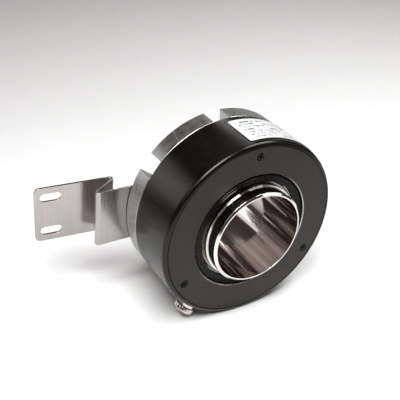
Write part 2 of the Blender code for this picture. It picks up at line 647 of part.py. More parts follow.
def make_gland(finishes):
    """Hexagon body, cap nut, cable seal and locknut, turned about the gland's own axis."""
    place = placed(polar(0.0, GLAND_ANGLE, GLAND_DEPTH), polar(1.0, GLAND_ANGLE, 0.0))
    seat = HOUSING_RADIUS + GAP
    hexagon_top = seat + 2.2 * MM
    tube_top = GLAND_END - 1.6 * MM
    tube = [(GLAND_THREAD_RADIUS, tube_top), (GLAND_THREAD_RADIUS, GLAND_START),
            (GLAND_BORE, GLAND_START), (GLAND_BORE, tube_top)]
    body = turned("gland_body", tube, finishes["nickel"], 20, place)
    hexagon = prism(regular_outline(9.6 * MM), seat, hexagon_top)
    collar = finish_object("gland_hexagon", hexagon, None, place)
    cut(collar, rod("gland_hexagon_core", GLAND_BORE + 0.4 * MM, seat - MM, hexagon_top + MM, place, 20))
    join(body, collar)
    clearance = GLAND_THREAD_RADIUS + 0.25 * MM
    cap_floor = GLAND_END - 1.2 * MM
    cap = [(GLAND_RADIUS, cap_floor), (GLAND_RADIUS, hexagon_top + GAP), (clearance, hexagon_top + GAP),
           (clearance, cap_floor), (GLAND_BORE, cap_floor), (GLAND_BORE, GLAND_END),
           (GLAND_RADIUS - 1.2 * MM, GLAND_END)]
    turned("gland_nut", cap, finishes["nickel"], 24, place)
    cable_hole = 1.5 * MM
    seal_outer = GLAND_BORE - 0.25 * MM
    bottom, top = 50.5 * MM, GLAND_END - GAP
    seal = [(seal_outer, top), (seal_outer, bottom), (cable_hole, bottom), (cable_hole, top)]
    turned("gland_seal", seal, finishes["rubber"], 20, place)
    bottom, top = 43.0 * MM, 45.3 * MM
    locknut = finish_object("gland_locknut", prism(regular_outline(10.0 * MM), bottom, top),
                            finishes["nickel"], place)
    cut(locknut, rod("locknut_hole", clearance, bottom - MM, top + MM, place, 20))


def rounded_path(points, radius, steps):
    """A polyline with an arc of the given radius in place of each inner corner."""
    path = [Vector(points[0])]
    for before, corner, after in zip(points, points[1:], points[2:]):
        corner = Vector(corner)
        towards = (Vector(before) - corner).normalized()
        away = (Vector(after) - corner).normalized()
        half = towards.angle(away) / 2
        middle = corner + (towards + away).normalized() * (radius / math.sin(half))
        start = corner + towards * (radius / math.tan(half)) - middle
        end = corner + away * (radius / math.tan(half)) - middle
        turn = start.angle_signed(end)
        for i in range(steps + 1):
            spoke = start.copy()
            spoke.rotate(Matrix.Rotation(-turn * i / steps, 2))
            path.append(middle + spoke)
    path.append(Vector(points[-1]))
    return path


def thickened(path, thickness):
    """The closed outline of a strip whose middle follows a path."""
    left, right = [], []
    for i, point in enumerate(path):
        ahead = (path[min(i + 1, len(path) - 1)] - point).normalized()
        behind = (point - path[max(i - 1, 0)]).normalized()
        along = (ahead + behind).normalized()
        side = Vector((-along.y, along.x))
        stretch = thickness / 2 / max(0.5, along.dot(ahead if i < len(path) - 1 else behind))
        left.append(point + side * stretch)
        right.append(point - side * stretch)
    return [tuple(p) for p in left + right[::-1]]


def make_torque_bracket(finish):
    plan = [(x * MM, y * MM) for x, y in STRIP_PLAN]
    outline = thickened(rounded_path(plan, STRIP_FOLD_RADIUS, 7), STRIP_THICKNESS)
    top = STRIP_HEIGHT / 2
    bracket = finish_object("torque_bracket", prism(outline, -top, top), finish)
    fixed_depths = (38 * MM, 44 * MM)  # these reach through the screwed end, and no other fold
    free_depths = (50 * MM, 62 * MM)

    def through(name, shape, depths):
        cut(bracket, front_prism(name, shape, *depths, None))

    for i, side in enumerate((1, -1), 1):
        slot = stadium(SLOT_LENGTH, SLOT_WIDTH, (SLOT_CENTRE_X, side * SLOT_CENTRE_Z))
        through(f"slot_cut_{i}", slot, free_depths)
        hole = arc(M4_HOLE, 0, 345, 23, (BRACKET_SCREW_X, side * BRACKET_SCREW_Z))
        through(f"bracket_hole_{i}", hole, fixed_depths)
        for name, end, inwards, depths, radius in (
            ("free", plan[-1][0], 1, free_depths, 3.0 * MM),
            ("fixed", plan[0][0], -1, fixed_depths, 4.0 * MM),
        ):
            centre = (end + inwards * radius, side * (top - radius))
            curve = arc(radius, side * 90, side * (90 + inwards * 90), 6, centre)
            past_end = end - inwards * MM
            past_top = side * (top + MM)
            corner = [(past_end, centre[1]), (past_end, past_top), (centre[0], past_top)]
            through(f"{name}_corner_cut_{i}", corner + curve, depths)
    return bracket


def make_bracket_fixings(finishes):
    outer = 3.9 * MM
    front = STRIP_PLAN[0][1] * MM + STRIP_THICKNESS / 2 + GAP
    rear = front + 0.8 * MM
    washer = [(outer, rear), (outer, front), (M4_HOLE, front), (M4_HOLE, rear)]
    for i, side in enumerate((1, -1), 1):
        spot = Vector((BRACKET_SCREW_X, 0.0, side * BRACKET_SCREW_Z))
        turned(f"bracket_washer_{i}", washer, finishes["zinc_screw"], 24, placed(spot, (0, 1, 0)))
        seat = placed(spot + Vector((0, rear + GAP, 0)), (0, 1, 0))
        socket_screw(f"bracket_screw_{i}", finishes["zinc_screw"], seat, BRACKET_SCREW, 10.0 * MM)


def make_label(finish):
    inner = HOUSING_RADIUS + 0.2 * MM
    outline = sector(inner, inner + LABEL_THICKNESS, *LABEL_ANGLES, 22)
    front_prism("type_label", outline, LABEL_FRONT, LABEL_REAR, finish)


# ---------------------------------------------------------------------------------------------
# Assembly

ROTOR = (
    "hollow_shaft", "front_bearing_inner_ring", "rear_bearing_inner_ring", "disc_hub", "code_disc",
    "disc_clamp_ring", "retaining_ring", "clamp_ring", "clamp_screw",
)
CAGES = ("front_bearing_cage", "rear_bearing_cage")


def empty(name, children):
    """An empty at the origin, on the shaft axis, that carries the pieces that turn together."""
    made = bpy.data.objects.new(name, None)
    bpy.context.scene.collection.objects.link(made)
    for child in children:
        bpy.data.objects[child].parent = made
    return made


def main():
    for old in list(bpy.data.objects):
        bpy.data.objects.remove(old, do_unlink=True)
    finishes = make_materials()
    make_housing_shell(finishes["black_anodised"])
    make_front_plate(finishes["black_anodised"])
    make_front_screws(finishes["black_screw"])
    make_base_flange(finishes["turned_aluminium"])
    make_flange_bolts(finishes["zinc_screw"])
    make_seals(finishes)
    make_wave_spring(finishes["bearing_steel"])
    make_hollow_shaft(finishes["polished_steel"])
    make_bearing("front", FRONT_BEARING_FRONT, finishes)
    make_bearing("rear", REAR_BEARING_FRONT, finishes)
    make_disc_group(finishes)
    make_retaining_ring(finishes["bearing_steel"])
    make_clamp_ring(finishes)
    make_main_board(finishes["board"])
    make_board_fixings(finishes)
    make_scanning_head(finishes)
    make_board_parts(finishes)
    make_gland(finishes)
    make_torque_bracket(finishes["spring_steel"])
    make_bracket_fixings(finishes)
    make_label(finishes["label"])
    empty("rotor_axis", ROTOR)
    for cage in CAGES:
        empty(f"{cage}_axis", (cage,))


main()
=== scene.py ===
"""Looks for the hollow-shaft rotary encoder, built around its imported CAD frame.

Metres, +Z up. The shaft turns about the Y axis, and the front face lies in the plane Y = 0 and looks
along -Y. Each CAD node is shown by a finer piece in the same place. Angles are read from the front:
0 points along +X and 90 along +Z.
"""

import json
import math

import bmesh
import bpy
from mathutils import Matrix, Vector


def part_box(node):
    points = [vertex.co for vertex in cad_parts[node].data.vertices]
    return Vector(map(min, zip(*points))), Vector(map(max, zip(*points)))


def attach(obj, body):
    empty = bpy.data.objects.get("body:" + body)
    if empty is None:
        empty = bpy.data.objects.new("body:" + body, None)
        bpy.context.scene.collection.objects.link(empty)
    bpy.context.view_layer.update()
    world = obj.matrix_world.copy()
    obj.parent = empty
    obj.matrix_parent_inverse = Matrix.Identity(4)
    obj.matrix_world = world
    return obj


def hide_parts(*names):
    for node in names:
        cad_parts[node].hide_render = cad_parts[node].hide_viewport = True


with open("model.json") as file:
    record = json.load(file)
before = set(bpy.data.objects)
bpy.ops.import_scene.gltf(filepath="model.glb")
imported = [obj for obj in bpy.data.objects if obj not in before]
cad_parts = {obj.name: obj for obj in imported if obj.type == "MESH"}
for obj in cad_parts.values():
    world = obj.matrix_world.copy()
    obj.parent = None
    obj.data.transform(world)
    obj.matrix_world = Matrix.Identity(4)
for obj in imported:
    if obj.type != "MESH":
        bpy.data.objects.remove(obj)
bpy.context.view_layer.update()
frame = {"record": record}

MM = 0.001


def mm(*values):
    """Numbers, or tuples of them, given in mm."""
    return [tuple(mm(*v)) if isinstance(v, tuple) else v * MM for v in values]


FINE_EDGE, EDGE, SOFT_EDGE = mm(0.1, 0.2, 0.3)  # radii of rounded edges
FINE = 192  # segments of a large ring
MEDIUM = 96
SMALL = 48
MAIN_AXIS = Matrix.Rotation(-math.pi / 2, 4, "X")  # local +Z becomes the shaft axis, towards the rear

BODY_OF = {node: body for body, nodes in frame["record"]["behaviour"]["bodies"].items() for node in nodes}
SLOT_OF = {row["node"]: row["material_slot"] for row in frame["record"]["subparts"]}

# ---------------------------------------------------------------------------------------------
# Sizes, which repeat the frame's own


def depths(node):
    """Where a node starts and ends along the shaft axis."""
    low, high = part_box(node)
    return low.y, high.y


HOUSING_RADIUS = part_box("housing_shell")[1].x
HOUSING_REAR = depths("housing_shell")[1]
HOUSING_INNER = HOUSING_RADIUS - 4.0 * MM
FACE_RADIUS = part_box("front_plate")[1].x
FACE_SCREW_CIRCLE = 42.7 * MM
FACE_SCREWS = (90, 210, 330)
FACE_SCREW_FLOOR = 2.0 * MM
FLANGE_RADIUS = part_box("base_flange")[1].x
FLANGE_FRONT = 29.6 * MM
SPIGOT_FRONT, FLANGE_REAR = depths("base_flange")
NOTCHES = (44.3, 94.3, 144.3, 215.7, 265.7, 315.7)
NOTCH_FLOOR = 40.5 * MM
NOTCH_HALF_WIDTH = 4.7 * MM
FLANGE_BOLT_CIRCLE = 42.2 * MM
FLANGE_BOLTS = (0, 120, 240)
FLANGE_BOLT_SEAT = FLANGE_REAR - 3.4 * MM
BOARD_SCREW_CIRCLE = 40.0 * MM
BOARD_SCREWS = (60, 180, 300)
BORE_RADIUS = 24.0 * MM
HUB_BORE = 36.3 * MM
BRACKET_SCREW_X = -41.5 * MM
BRACKET_SCREW_Z = 9.0 * MM
SLOT_X = -84.2 * MM
SLOT_Z = 9.8 * MM
LABEL_ANGLES = (30.0, 94.5)
GLAND_ANGLE = 236
GLAND_DEPTH = 9.0 * MM
BOSS_RADIUS = 3.6 * MM
BOSS_OFFSET = 0.6 * MM
HEAD_ANGLE = 30  # of the scanning head
TRACK_RADIUS = 36.0 * MM
CHIP_RADIUS = 42.6 * MM
GAP = 0.3 * MM
M2, M3, M4 = mm(1.0, 1.5, 2.0)  # thread radii
FACE_SCREW = mm(1.0, 7.5, 1.7, 1.6, 1.5)  # thread radius, length, head radius, head height, key
BOARD_SCREW = mm(1.0, 8.0, 1.9, 1.4, 1.5)
FLANGE_BOLT = mm(1.5, 19.5, 2.75, 2.8, 2.5)
CLAMP_SCREW = mm(1.5, 15.0, 2.7, 2.9, 2.5)
BRACKET_SCREW = mm(2.0, 10.0, 3.4, 2.6, 2.5)

# ---------------------------------------------------------------------------------------------
# Materials


class Nodes:
    """A material and short ways to add nodes to it."""

    def __init__(self, name):
        self.material = bpy.data.materials.new(name)
        self.material.use_nodes = True
        self.tree = self.material.node_tree
        self.shader = self.tree.nodes["Principled BSDF"]
        self.place = self.add("ShaderNodeTexCoord").outputs["Object"]

    def add(self, kind, **values):
        made = self.tree.nodes.new(kind)
        for key, value in values.items():
            setattr(made, key, value)
        return made

    def join(self, source, target):
        self.tree.links.new(source, target)

    def put(self, target, value):
        """Links a socket, or sets a plain value. A colour is a tuple of three."""
        if isinstance(value, bpy.types.NodeSocket):
            self.join(value, target)
        else:
            target.default_value = (*value, 1.0) if isinstance(value, tuple) else value

    def math(self, operation, a, b=0.0, c=0.0):
        made = self.add("ShaderNodeMath", operation=operation)
        for socket, value in zip(made.inputs, (a, b, c)):
            self.put(socket, value)
        return made.outputs[0]

    def times(self, a, b):
        return self.math("MULTIPLY", a, b)

    def split(self, vector):
        made = self.add("ShaderNodeSeparateXYZ")
        self.join(vector, made.inputs[0])
        return made.outputs

    def fill(self, node, **values):
        """Sets a node's inputs by name, with _ for a space, and returns its first output."""
        for name, value in values.items():
            self.put(node.inputs[name.replace("_", " ")], value)
        return node.outputs[0]

    def finish(self, **values):
        self.fill(self.shader, **values)
        return self.material

    def combine(self, x, y, z):
        made = self.add("ShaderNodeCombineXYZ")
        for socket, value in zip(made.inputs, (x, y, z)):
            self.put(socket, value)
        return made.outputs[0]

    def stretched(self, scale):
        """The place multiplied by a scale along each axis."""
        made = self.add("ShaderNodeMapping")
        self.join(self.place, made.inputs["Vector"])
        made.inputs["Scale"].default_value = scale
        return made.outputs[0]

    def noise(self, vector, scale=1.0, detail=3.0, rough=0.55):
        made = self.add("ShaderNodeTexNoise")
        return self.fill(made, Vector=vector, Scale=scale, Detail=detail, Roughness=rough)

    def ramp(self, source, low, high, start=0.0, end=1.0):
        """A number mapped from one range to another."""
        made = self.add("ShaderNodeMapRange")
        return self.fill(made, From_Min=low, From_Max=high, To_Min=start, To_Max=end, Value=source)

    def blend(self, amount, first, second):
        made = self.add("ShaderNodeMix", data_type="RGBA")
        self.put(made.inputs["Factor"], amount)
        self.put(made.inputs[6], first)
        self.put(made.inputs[7], second)
        return made.outputs[2]

    def bump(self, height, distance, strength=1.0, under=None):
        made = self.add("ShaderNodeBump")
        if under is not None:
            self.join(under, made.inputs["Normal"])
        return self.fill(made, Distance=distance, Strength=strength, Height=height)

    def around(self):
        """Radius, angle in degrees and depth of a point, about the shaft axis."""
        x, y, z = self.split(self.place)
        square = self.math("ADD", self.times(x, x), self.times(z, z))
        angle = self.times(self.math("ARCTAN2", z, x), 180 / math.pi)
        return self.math("SQRT", square), angle, y


def varied(name, dark, light, rough, grain=3e-6, lines=0.0, mottle=700.0, speckle=0.0, mark=None):
    """A finish whose colour and gloss vary a little: fine grain, and turned lines if asked for.

    rough is the range of roughness, grain the height of the fine bump, lines that of the turned marks.
    mark gives a mask of where a near-white line is painted.
    """
    m = Nodes(name)
    cloud = m.noise(m.place, mottle, 4.0)
    fine = m.noise(m.place, 9000.0, 2.0)
    shade = m.blend(m.ramp(cloud, 0.32, 0.68), dark, light)
    normal = m.bump(fine, grain)
    gloss = m.math("ADD", m.ramp(cloud, 0.3, 0.7, *rough), m.ramp(fine, 0.0, 1.0, -0.02, 0.02))
    if lines:
        radius, angle, depth = m.around()
        marks = m.noise(m.combine(m.times(radius, 14000.0), m.times(depth, 14000.0), angle), 1.0, 2.0)
        normal = m.bump(marks, lines, 1.0, normal)
        gloss = m.math("ADD", gloss, m.ramp(marks, 0.2, 0.8, -0.04, 0.04))
        shade = m.blend(m.ramp(marks, 0.62, 0.8, 0.0, 0.25), shade, light)
    if speckle:
        dust = m.noise(m.place, 2600.0, 1.0)
        shade = m.blend(m.ramp(dust, 0.73, 0.78, 0.0, speckle), shade, (0.35, 0.33, 0.30))
    if mark:
        shade = m.blend(mark(m), shade, (0.95, 0.95, 0.94))
    m.finish(Base_Color=shade, Roughness=gloss, Normal=normal)
    return m


def painted_rim_line(m):
    """A fine near-white line painted across the flange's rim. It leans, so its angle falls with the depth."""
    angle_at_front, lean, half_width = 132.6, 291.0, 0.2  # degrees, degrees per metre, degrees
    radius, angle, depth = m.around()
    line = m.math("COMPARE", m.math("ADD", angle, m.times(depth, lean)), angle_at_front, half_width)
    return m.times(line, m.math("GREATER_THAN", radius, FLANGE_RADIUS - 0.4 * MM))


def polished_steel():
    """The hollow shaft: honed along its bore, with streaks that run the length of the shaft."""
    m = Nodes("polished_steel")
    radius, angle, depth = m.around()
    streaks = m.noise(m.combine(m.times(angle, 0.11), m.times(depth, 6.0), radius), 1.0, 3.0)
    hone = m.noise(m.combine(m.times(angle, 2.4), m.times(depth, 30.0), radius), 1.0, 2.0)
    chrome = m.blend(m.ramp(hone, 0.3, 0.7), (0.62, 0.58, 0.55), (0.74, 0.71, 0.68))
    bore = m.blend(m.ramp(streaks, 0.35, 0.65), (0.36, 0.315, 0.295), (0.53, 0.475, 0.45))
    inside = m.math("LESS_THAN", radius, BORE_RADIUS + 0.05 * MM)
    # Behind the front face the shaft's outside is painted near black: a painted reflection of the dark plate
    # and seal around it.
    painted_dark_reflection = m.times(m.math("GREATER_THAN", depth, 0.4 * MM), m.math("SUBTRACT", 1.0, inside))
    outside = m.blend(m.times(painted_dark_reflection, 0.8), chrome, (0.10, 0.095, 0.09))
    return m.finish(Base_Color=m.blend(inside, outside, bore), Roughness=m.ramp(hone, 0.25, 0.75, 0.04, 0.11),
                    Normal=m.bump(hone, 8e-7), Metallic=1.0)


def spring_steel():
    """Rolled stainless strip, its grain across the strip's length."""
    m = Nodes("spring_steel")
    grain = m.noise(m.stretched((5200.0, 5200.0, 55.0)), 1.0, 3.0)
    broad = m.noise(m.stretched((420.0, 420.0, 22.0)), 1.0, 2.0)
    colour = m.blend(m.ramp(grain, 0.3, 0.7), (0.31, 0.28, 0.268), (0.43, 0.40, 0.386))
    colour = m.blend(m.ramp(broad, 0.35, 0.7, 0.0, 0.35), colour, (0.41, 0.40, 0.385))
    return m.finish(Base_Color=colour, Roughness=m.ramp(grain, 0.25, 0.75, 0.12, 0.26),
                    Normal=m.bump(grain, 3e-6), Metallic=1.0)


def label_film():
    """White printed film with rows of faint grey bars and squares in place of print."""
    m = Nodes("label_film")
    row_height, ink_half_height = 2.6, 0.55  # mm, like all lengths here
    radius, angle, depth = m.around()
    across = m.times(angle, 0.8727)  # along the drum
    down = m.times(depth, 1000.0)
    row = m.math("FLOOR", m.math("DIVIDE", down, row_height))
    in_row = m.math("MODULO", down, row_height)
    letters = m.noise(m.combine(m.times(across, 1.05), m.times(row, 7.7), 0.0), 1.0, 0.0)
    words = m.noise(m.combine(m.times(across, 0.16), m.times(row, 3.1), 2.0), 1.0, 0.0)
    inked = m.times(m.math("GREATER_THAN", letters, 0.50), m.math("GREATER_THAN", words, 0.47))
    inked = m.times(inked, m.math("COMPARE", in_row, row_height / 2, ink_half_height))
    margin = m.times(m.math("COMPARE", across, 54.3, 25.0), m.math("COMPARE", down, 14.6, 8.6))
    inked = m.times(inked, margin)
    paper = m.noise(m.place, 900.0, 3.0)
    film = m.blend(m.ramp(paper, 0.3, 0.7), (0.48, 0.49, 0.49), (0.54, 0.545, 0.545))
    return m.finish(Base_Color=m.blend(inked, film, (0.07, 0.08, 0.09)), Normal=m.bump(paper, 4e-6),
                    Roughness=m.ramp(paper, 0.3, 0.7, 0.32, 0.44))


def board_mask():
    """Green solder mask over tracks."""
    m = Nodes("board_mask")
    cells = m.fill(m.add("ShaderNodeTexVoronoi", feature="DISTANCE_TO_EDGE"), Vector=m.place, Scale=420.0)
    tracks = m.ramp(cells, 0.04, 0.09, 1.0, 0.0)
    weave = m.noise(m.place, 5000.0, 2.0)
    colour = m.blend(tracks, (0.008, 0.07, 0.025), (0.02, 0.17, 0.06))
    return m.finish(Base_Color=m.blend(m.ramp(weave, 0.4, 0.8, 0.0, 0.3), colour, (0.03, 0.22, 0.09)),
                    Roughness=m.ramp(weave, 0.3, 0.7, 0.28, 0.42), Normal=m.bump(tracks, 3e-5),
                    Coat_Weight=0.4)


def disc_glass():
    """Clear glass with a chrome track of fine radial lines."""
    m = Nodes("disc_glass")
    radius, angle, depth = m.around()
    lines = m.math("GREATER_THAN", m.math("PINGPONG", angle, 1.0), 0.5)
    track = m.math("COMPARE", radius, 35.5 * MM, 1.6 * MM)
    rim = m.math("COMPARE", radius, 38.0 * MM, 0.2 * MM)
    index = m.times(m.math("COMPARE", radius, 33.0 * MM, 0.4 * MM), m.math("COMPARE", angle, 60.0, 0.6))
    chrome = m.math("MAXIMUM", m.times(lines, track), m.math("MAXIMUM", rim, index))
    tint = m.noise(m.place, 300.0, 2.0)
    clear = m.blend(m.ramp(tint, 0.3, 0.7), (0.78, 0.86, 0.88), (0.84, 0.92, 0.93))
    return m.finish(Base_Color=m.blend(chrome, clear, (0.55, 0.55, 0.56)), Metallic=chrome, IOR=1.5,
                    Roughness=m.ramp(tint, 0.3, 0.7, 0.03, 0.07),
                    Transmission_Weight=m.math("SUBTRACT", 1.0, chrome))


METALS = {  # darker and lighter colour, range of roughness, and what varied() takes after them
    "turned_aluminium": ((0.38, 0.38, 0.375), (0.46, 0.46, 0.452), (0.26, 0.38), 5e-6, 1.2e-5, 350.0, 0.0,
                         painted_rim_line),
    "bearing_steel": ((0.50, 0.50, 0.52), (0.64, 0.64, 0.66), (0.10, 0.20), 1e-6, 4e-6),
    "black_screw": ((0.010, 0.010, 0.010), (0.022, 0.022, 0.021), (0.35, 0.5)),
    "zinc_screw": ((0.48, 0.48, 0.46), (0.64, 0.64, 0.61), (0.24, 0.38)),
    "nickel": ((0.50, 0.45, 0.41), (0.66, 0.60, 0.56), (0.14, 0.26)),
    "brass": ((0.60, 0.42, 0.18), (0.76, 0.56, 0.28), (0.22, 0.36)),
    "bare_edge": ((0.30, 0.30, 0.29), (0.42, 0.42, 0.40), (0.22, 0.34)),
    "solder": ((0.55, 0.55, 0.55), (0.75, 0.75, 0.74), (0.18, 0.30)),
}
PLASTICS = {
    "rubber": ((0.010, 0.010, 0.010), (0.022, 0.022, 0.022), (0.55, 0.72), 2e-5, 0.0, 500.0),
    "chip": ((0.016, 0.016, 0.017), (0.030, 0.030, 0.032), (0.45, 0.60), 1.5e-5, 0.0, 500.0),
    "moulding": ((0.62, 0.61, 0.56), (0.74, 0.73, 0.68), (0.40, 0.52), 8e-6, 0.0, 500.0),
}
BLACK_COATS = {
    "black_anodised": ((0.0010, 0.0009, 0.0008), (0.0020, 0.0019, 0.0016), (0.20, 0.25), 2.5e-6, 2e-6, 260.0,
                       0.06),
    "black_plate": ((0.0040, 0.0037, 0.0032), (0.0060, 0.0056, 0.0049), (0.33, 0.40), 3e-6, 1.5e-6, 180.0,
                    0.05),
}
SEAL = ((0.0020, 0.0020, 0.0018), (0.0040, 0.0038, 0.0034), (0.22, 0.30), 8e-7, 0.0, 350.0)
MATERIALS = {
    "polished_steel": polished_steel(), "spring_steel": spring_steel(), "board": board_mask(),
    "disc_glass": disc_glass(), "label": label_film(),
    "seal": varied("seal_rubber", *SEAL).finish(Specular_IOR_Level=0.12),
}
for name, values in METALS.items():
    MATERIALS[name] = varied(name, *values).finish(Metallic=1.0)
for name, values in PLASTICS.items():
    MATERIALS[name] = varied(name, *values).finish()
for name, values in BLACK_COATS.items():  # anodising reflects weakly and warmly
    MATERIALS[name] = varied(name, *values).finish(Specular_IOR_Level=0.30, Specular_Tint=(1.0, 0.95, 0.85))

# ---------------------------------------------------------------------------------------------
# Modelling helpers


def rounded(outline, radius, steps=3):
    """A closed outline with its sharp corners rounded. A third number on a point is its own radius."""
    result = []
    count = len(outline)
    for i, point in enumerate(outline):
        corner = Vector(point[:2])
        before = Vector(outline[i - 1][:2]) - corner
        after = Vector(outline[(i + 1) % count][:2]) - corner
        turn = math.pi - before.angle(after)
        own = point[2] if len(point) > 2 else radius
        if turn < math.radians(20) or own <= 0:
            result.append(tuple(corner))
            continue
        reach = min(own * math.tan(turn / 2), 0.45 * before.length, 0.45 * after.length)
        start = corner + before.normalized() * reach
        end = corner + after.normalized() * reach
        for k in range(steps + 1):
            t = k / steps
            result.append(tuple(start * (1 - t) ** 2 + corner * (2 * t * (1 - t)) + end * t**2))
    return result


def polar(radius, angle, depth):
    """The point at a radius and an angle in degrees, at a depth behind the front face."""
    turn = math.radians(angle)
    return Vector((radius * math.cos(turn), depth, radius * math.sin(turn)))


def placed(location, direction):
    """The frame at a point whose local +Z runs along a direction."""
    return Matrix.Translation(location) @ Vector(direction).to_track_quat("Z", "Y").to_matrix().to_4x4()


def shifted(place, x, y, z):
    return place @ Matrix.Translation((x, y, z))


def spun(profile, segments=FINE, closed=True, swell=None):
    """A bmesh of a (radius, height) profile turned about local Z. swell changes the radius with the angle."""
    bm = bmesh.new()
    rings = []
    for i in range(segments):
        turn = 2 * math.pi * i / segments
        ring = []
        for radius, height in profile:
            out = radius if swell is None else swell(radius, height, turn)
            ring.append(bm.verts.new((out * math.cos(turn), out * math.sin(turn), height)))
        rings.append(ring)
    last = len(profile) if closed else len(profile) - 1
    for i in range(segments):
        here, there = rings[i], rings[(i + 1) % segments]
        for j in range(last):
            k = (j + 1) % len(profile)
            bm.faces.new((here[j], here[k], there[k], there[j]))
    bmesh.ops.remove_doubles(bm, verts=bm.verts, dist=1e-7)
    return bm


def offset_loop(loop, distance):
    """A closed loop moved to its left by a distance."""
    result = []
    for i, point in enumerate(loop):
        back = (Vector(point) - Vector(loop[i - 1])).normalized()
        ahead = (Vector(loop[(i + 1) % len(loop)]) - Vector(point)).normalized()
        left_back, left_ahead = Vector((-back.y, back.x)), Vector((-ahead.y, ahead.x))
        middle = (left_back + left_ahead).normalized()
        result.append(Vector(point) + middle * (distance / max(0.4, middle.dot(left_back))))
    return result


def signed_area(loop):
    return sum(a[0] * b[1] - b[0] * a[1] for a, b in zip(loop, loop[1:] + loop[:1])) / 2


def plate(outline, holes, low, high, edge, steps=3):
    """A bmesh of a flat outline with holes, from low to high along local Z, its edges rounded."""
    outline = outline if signed_area(outline) > 0 else outline[::-1]
    holes = [hole if signed_area(hole) < 0 else hole[::-1] for hole in holes]
    turns = [math.pi / 2 * k / steps for k in range(steps + 1)]
    levels = [(edge * (1 - math.sin(t)), low + edge * (1 - math.cos(t))) for t in turns]
    levels += [(edge * (1 - math.cos(t)), high - edge * (1 - math.sin(t))) for t in turns]
    bm = bmesh.new()
    first, last = [], []
    for loop in [outline] + holes:
        rows = []
        for inset, height in levels:
            moved = offset_loop(loop, inset) if inset > 1e-9 else [Vector(p) for p in loop]
            rows.append([bm.verts.new((p.x, p.y, height)) for p in moved])
        for here, there in zip(rows, rows[1:]):
            for j in range(len(loop)):
                k = (j + 1) % len(loop)
                bm.faces.new((here[j], here[k], there[k], there[j]))
        first.append(rows[0])
        last.append(rows[-1])
    for ends in (first, last):
        edges = [bm.edges.get((row[j], row[(j + 1) % len(row)])) for row in ends for j in range(len(row))]
        bmesh.ops.triangle_fill(bm, use_beauty=True, use_dissolve=False, edges=edges)
    return bm


def arc(radius, start, end, steps, centre=(0.0, 0.0)):
    """Points of an arc between two angles in degrees."""
    turns = [math.radians(start + (end - start) * i / steps) for i in range(steps + 1)]
    return [(centre[0] + radius * math.cos(t), centre[1] + radius * math.sin(t)) for t in turns]


def circle(radius, centre=(0.0, 0.0), steps=SMALL):
    return arc(radius, 0, 360, steps, centre)[:-1]


def regular_outline(across_flats, sides=6):
    corner = across_flats / 2 / math.cos(math.pi / sides)
    return [(corner * math.cos(2 * math.pi * i / sides), corner * math.sin(2 * math.pi * i / sides))
            for i in range(sides)]


def rounded_box(size, place, edge, steps=2):
    """A bmesh of a box with rounded edges."""
    bm = bmesh.new()
    bmesh.ops.create_cube(bm, size=1.0, matrix=Matrix.Diagonal((*size, 1.0)))
    bmesh.ops.bevel(bm, geom=bm.edges[:], offset=edge, segments=steps, profile=0.5, affect="EDGES")
    bm.transform(place)
    return bm


def slice_across(bm, places):
    """Cuts a strip along local X at some places, so that it can be bent there."""
    for x in places:
        everything = bm.verts[:] + bm.edges[:] + bm.faces[:]
        bmesh.ops.bisect_plane(bm, geom=everything, plane_co=(x, 0, 0), plane_no=(1, 0, 0))


def absorb(bm, other):
    """Adds another bmesh to one."""
    mesh = bpy.data.meshes.new("part")
    other.to_mesh(mesh)
    other.free()
    bm.from_mesh(mesh)
    bpy.data.meshes.remove(mesh)


def raw_object(name, bm):
    bmesh.ops.recalc_face_normals(bm, faces=bm.faces)
    mesh = bpy.data.meshes.new(name)
    bm.to_mesh(mesh)
    bm.free()
    made = bpy.data.objects.new(name, mesh)
    bpy.context.scene.collection.objects.link(made)
    return made


def carve(made, shape, operation="DIFFERENCE"):
    """Applies a Boolean with a bmesh to an object."""
    other = raw_object("shape", shape)
    change = made.modifiers.new("carve", "BOOLEAN")
    change.operation = operation
    change.solver = "EXACT"
    change.object = other
    evaluated = made.evaluated_get(bpy.context.evaluated_depsgraph_get())
    mesh = bpy.data.meshes.new_from_object(evaluated)
    made.modifiers.clear()
    made.data = mesh
    bpy.data.objects.remove(other)


def second_finish(bm):
    """Puts all faces of a bmesh in the second material slot."""
    for face in bm.faces:
        face.material_index = 1
    return bm


def dress(made, node, *finishes, sharp=32.0):
    """Shades a piece, gives it its materials, and lets it stand for its CAD node."""
    made.name = f"{node}_fine"
    made.data.name = made.name
    for finish in finishes or [SLOT_OF[node]]:
        made.data.materials.append(MATERIALS[finish])
    made.data.shade_smooth()
    made.data.set_sharp_from_angle(angle=math.radians(sharp))
    made.modifiers.new("weights", "WEIGHTED_NORMAL").keep_sharp = True
    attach(made, BODY_OF[node])
    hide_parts(node)
    return made


def piece(node, bm, *finishes, place=None, sharp=32.0):
    """A bmesh as the piece that stands for a CAD node."""
    if place:
        bm.transform(place)
    return dress(raw_object(node, bm), node, *finishes, sharp=sharp)


def washer(inner, outer, low, high):
    """The profile of a plain ring."""
    return [(outer, high), (outer, low), (inner, low), (inner, high)]


def turned(node, profile, radius, steps=3):
    """An undressed object of a closed (radius, height) profile, its corners rounded, about the shaft axis."""
    bm = spun(rounded(profile, radius, steps))
    bm.transform(MAIN_AXIS)
    return raw_object(node, bm)


def ring(node, profile, radius=0.0, *finishes, segments=FINE, place=MAIN_AXIS, steps=3):
    """A turned piece that needs no more work."""
    outline = rounded(profile, radius, steps) if radius else profile
    return piece(node, spun(outline, segments), *finishes, place=place)


def drill(radius, bottom, top, surface, chamfer, place, segments=SMALL):
    """A bmesh of a drill that leaves a chamfered mouth where it meets a surface. Local Z points out."""
    bm = spun([(0.0, bottom), (radius, bottom), (radius, surface - chamfer), (radius + chamfer, surface),
               (radius + chamfer, top), (0.0, top)], segments, closed=False)
    bm.transform(place)
    return bm


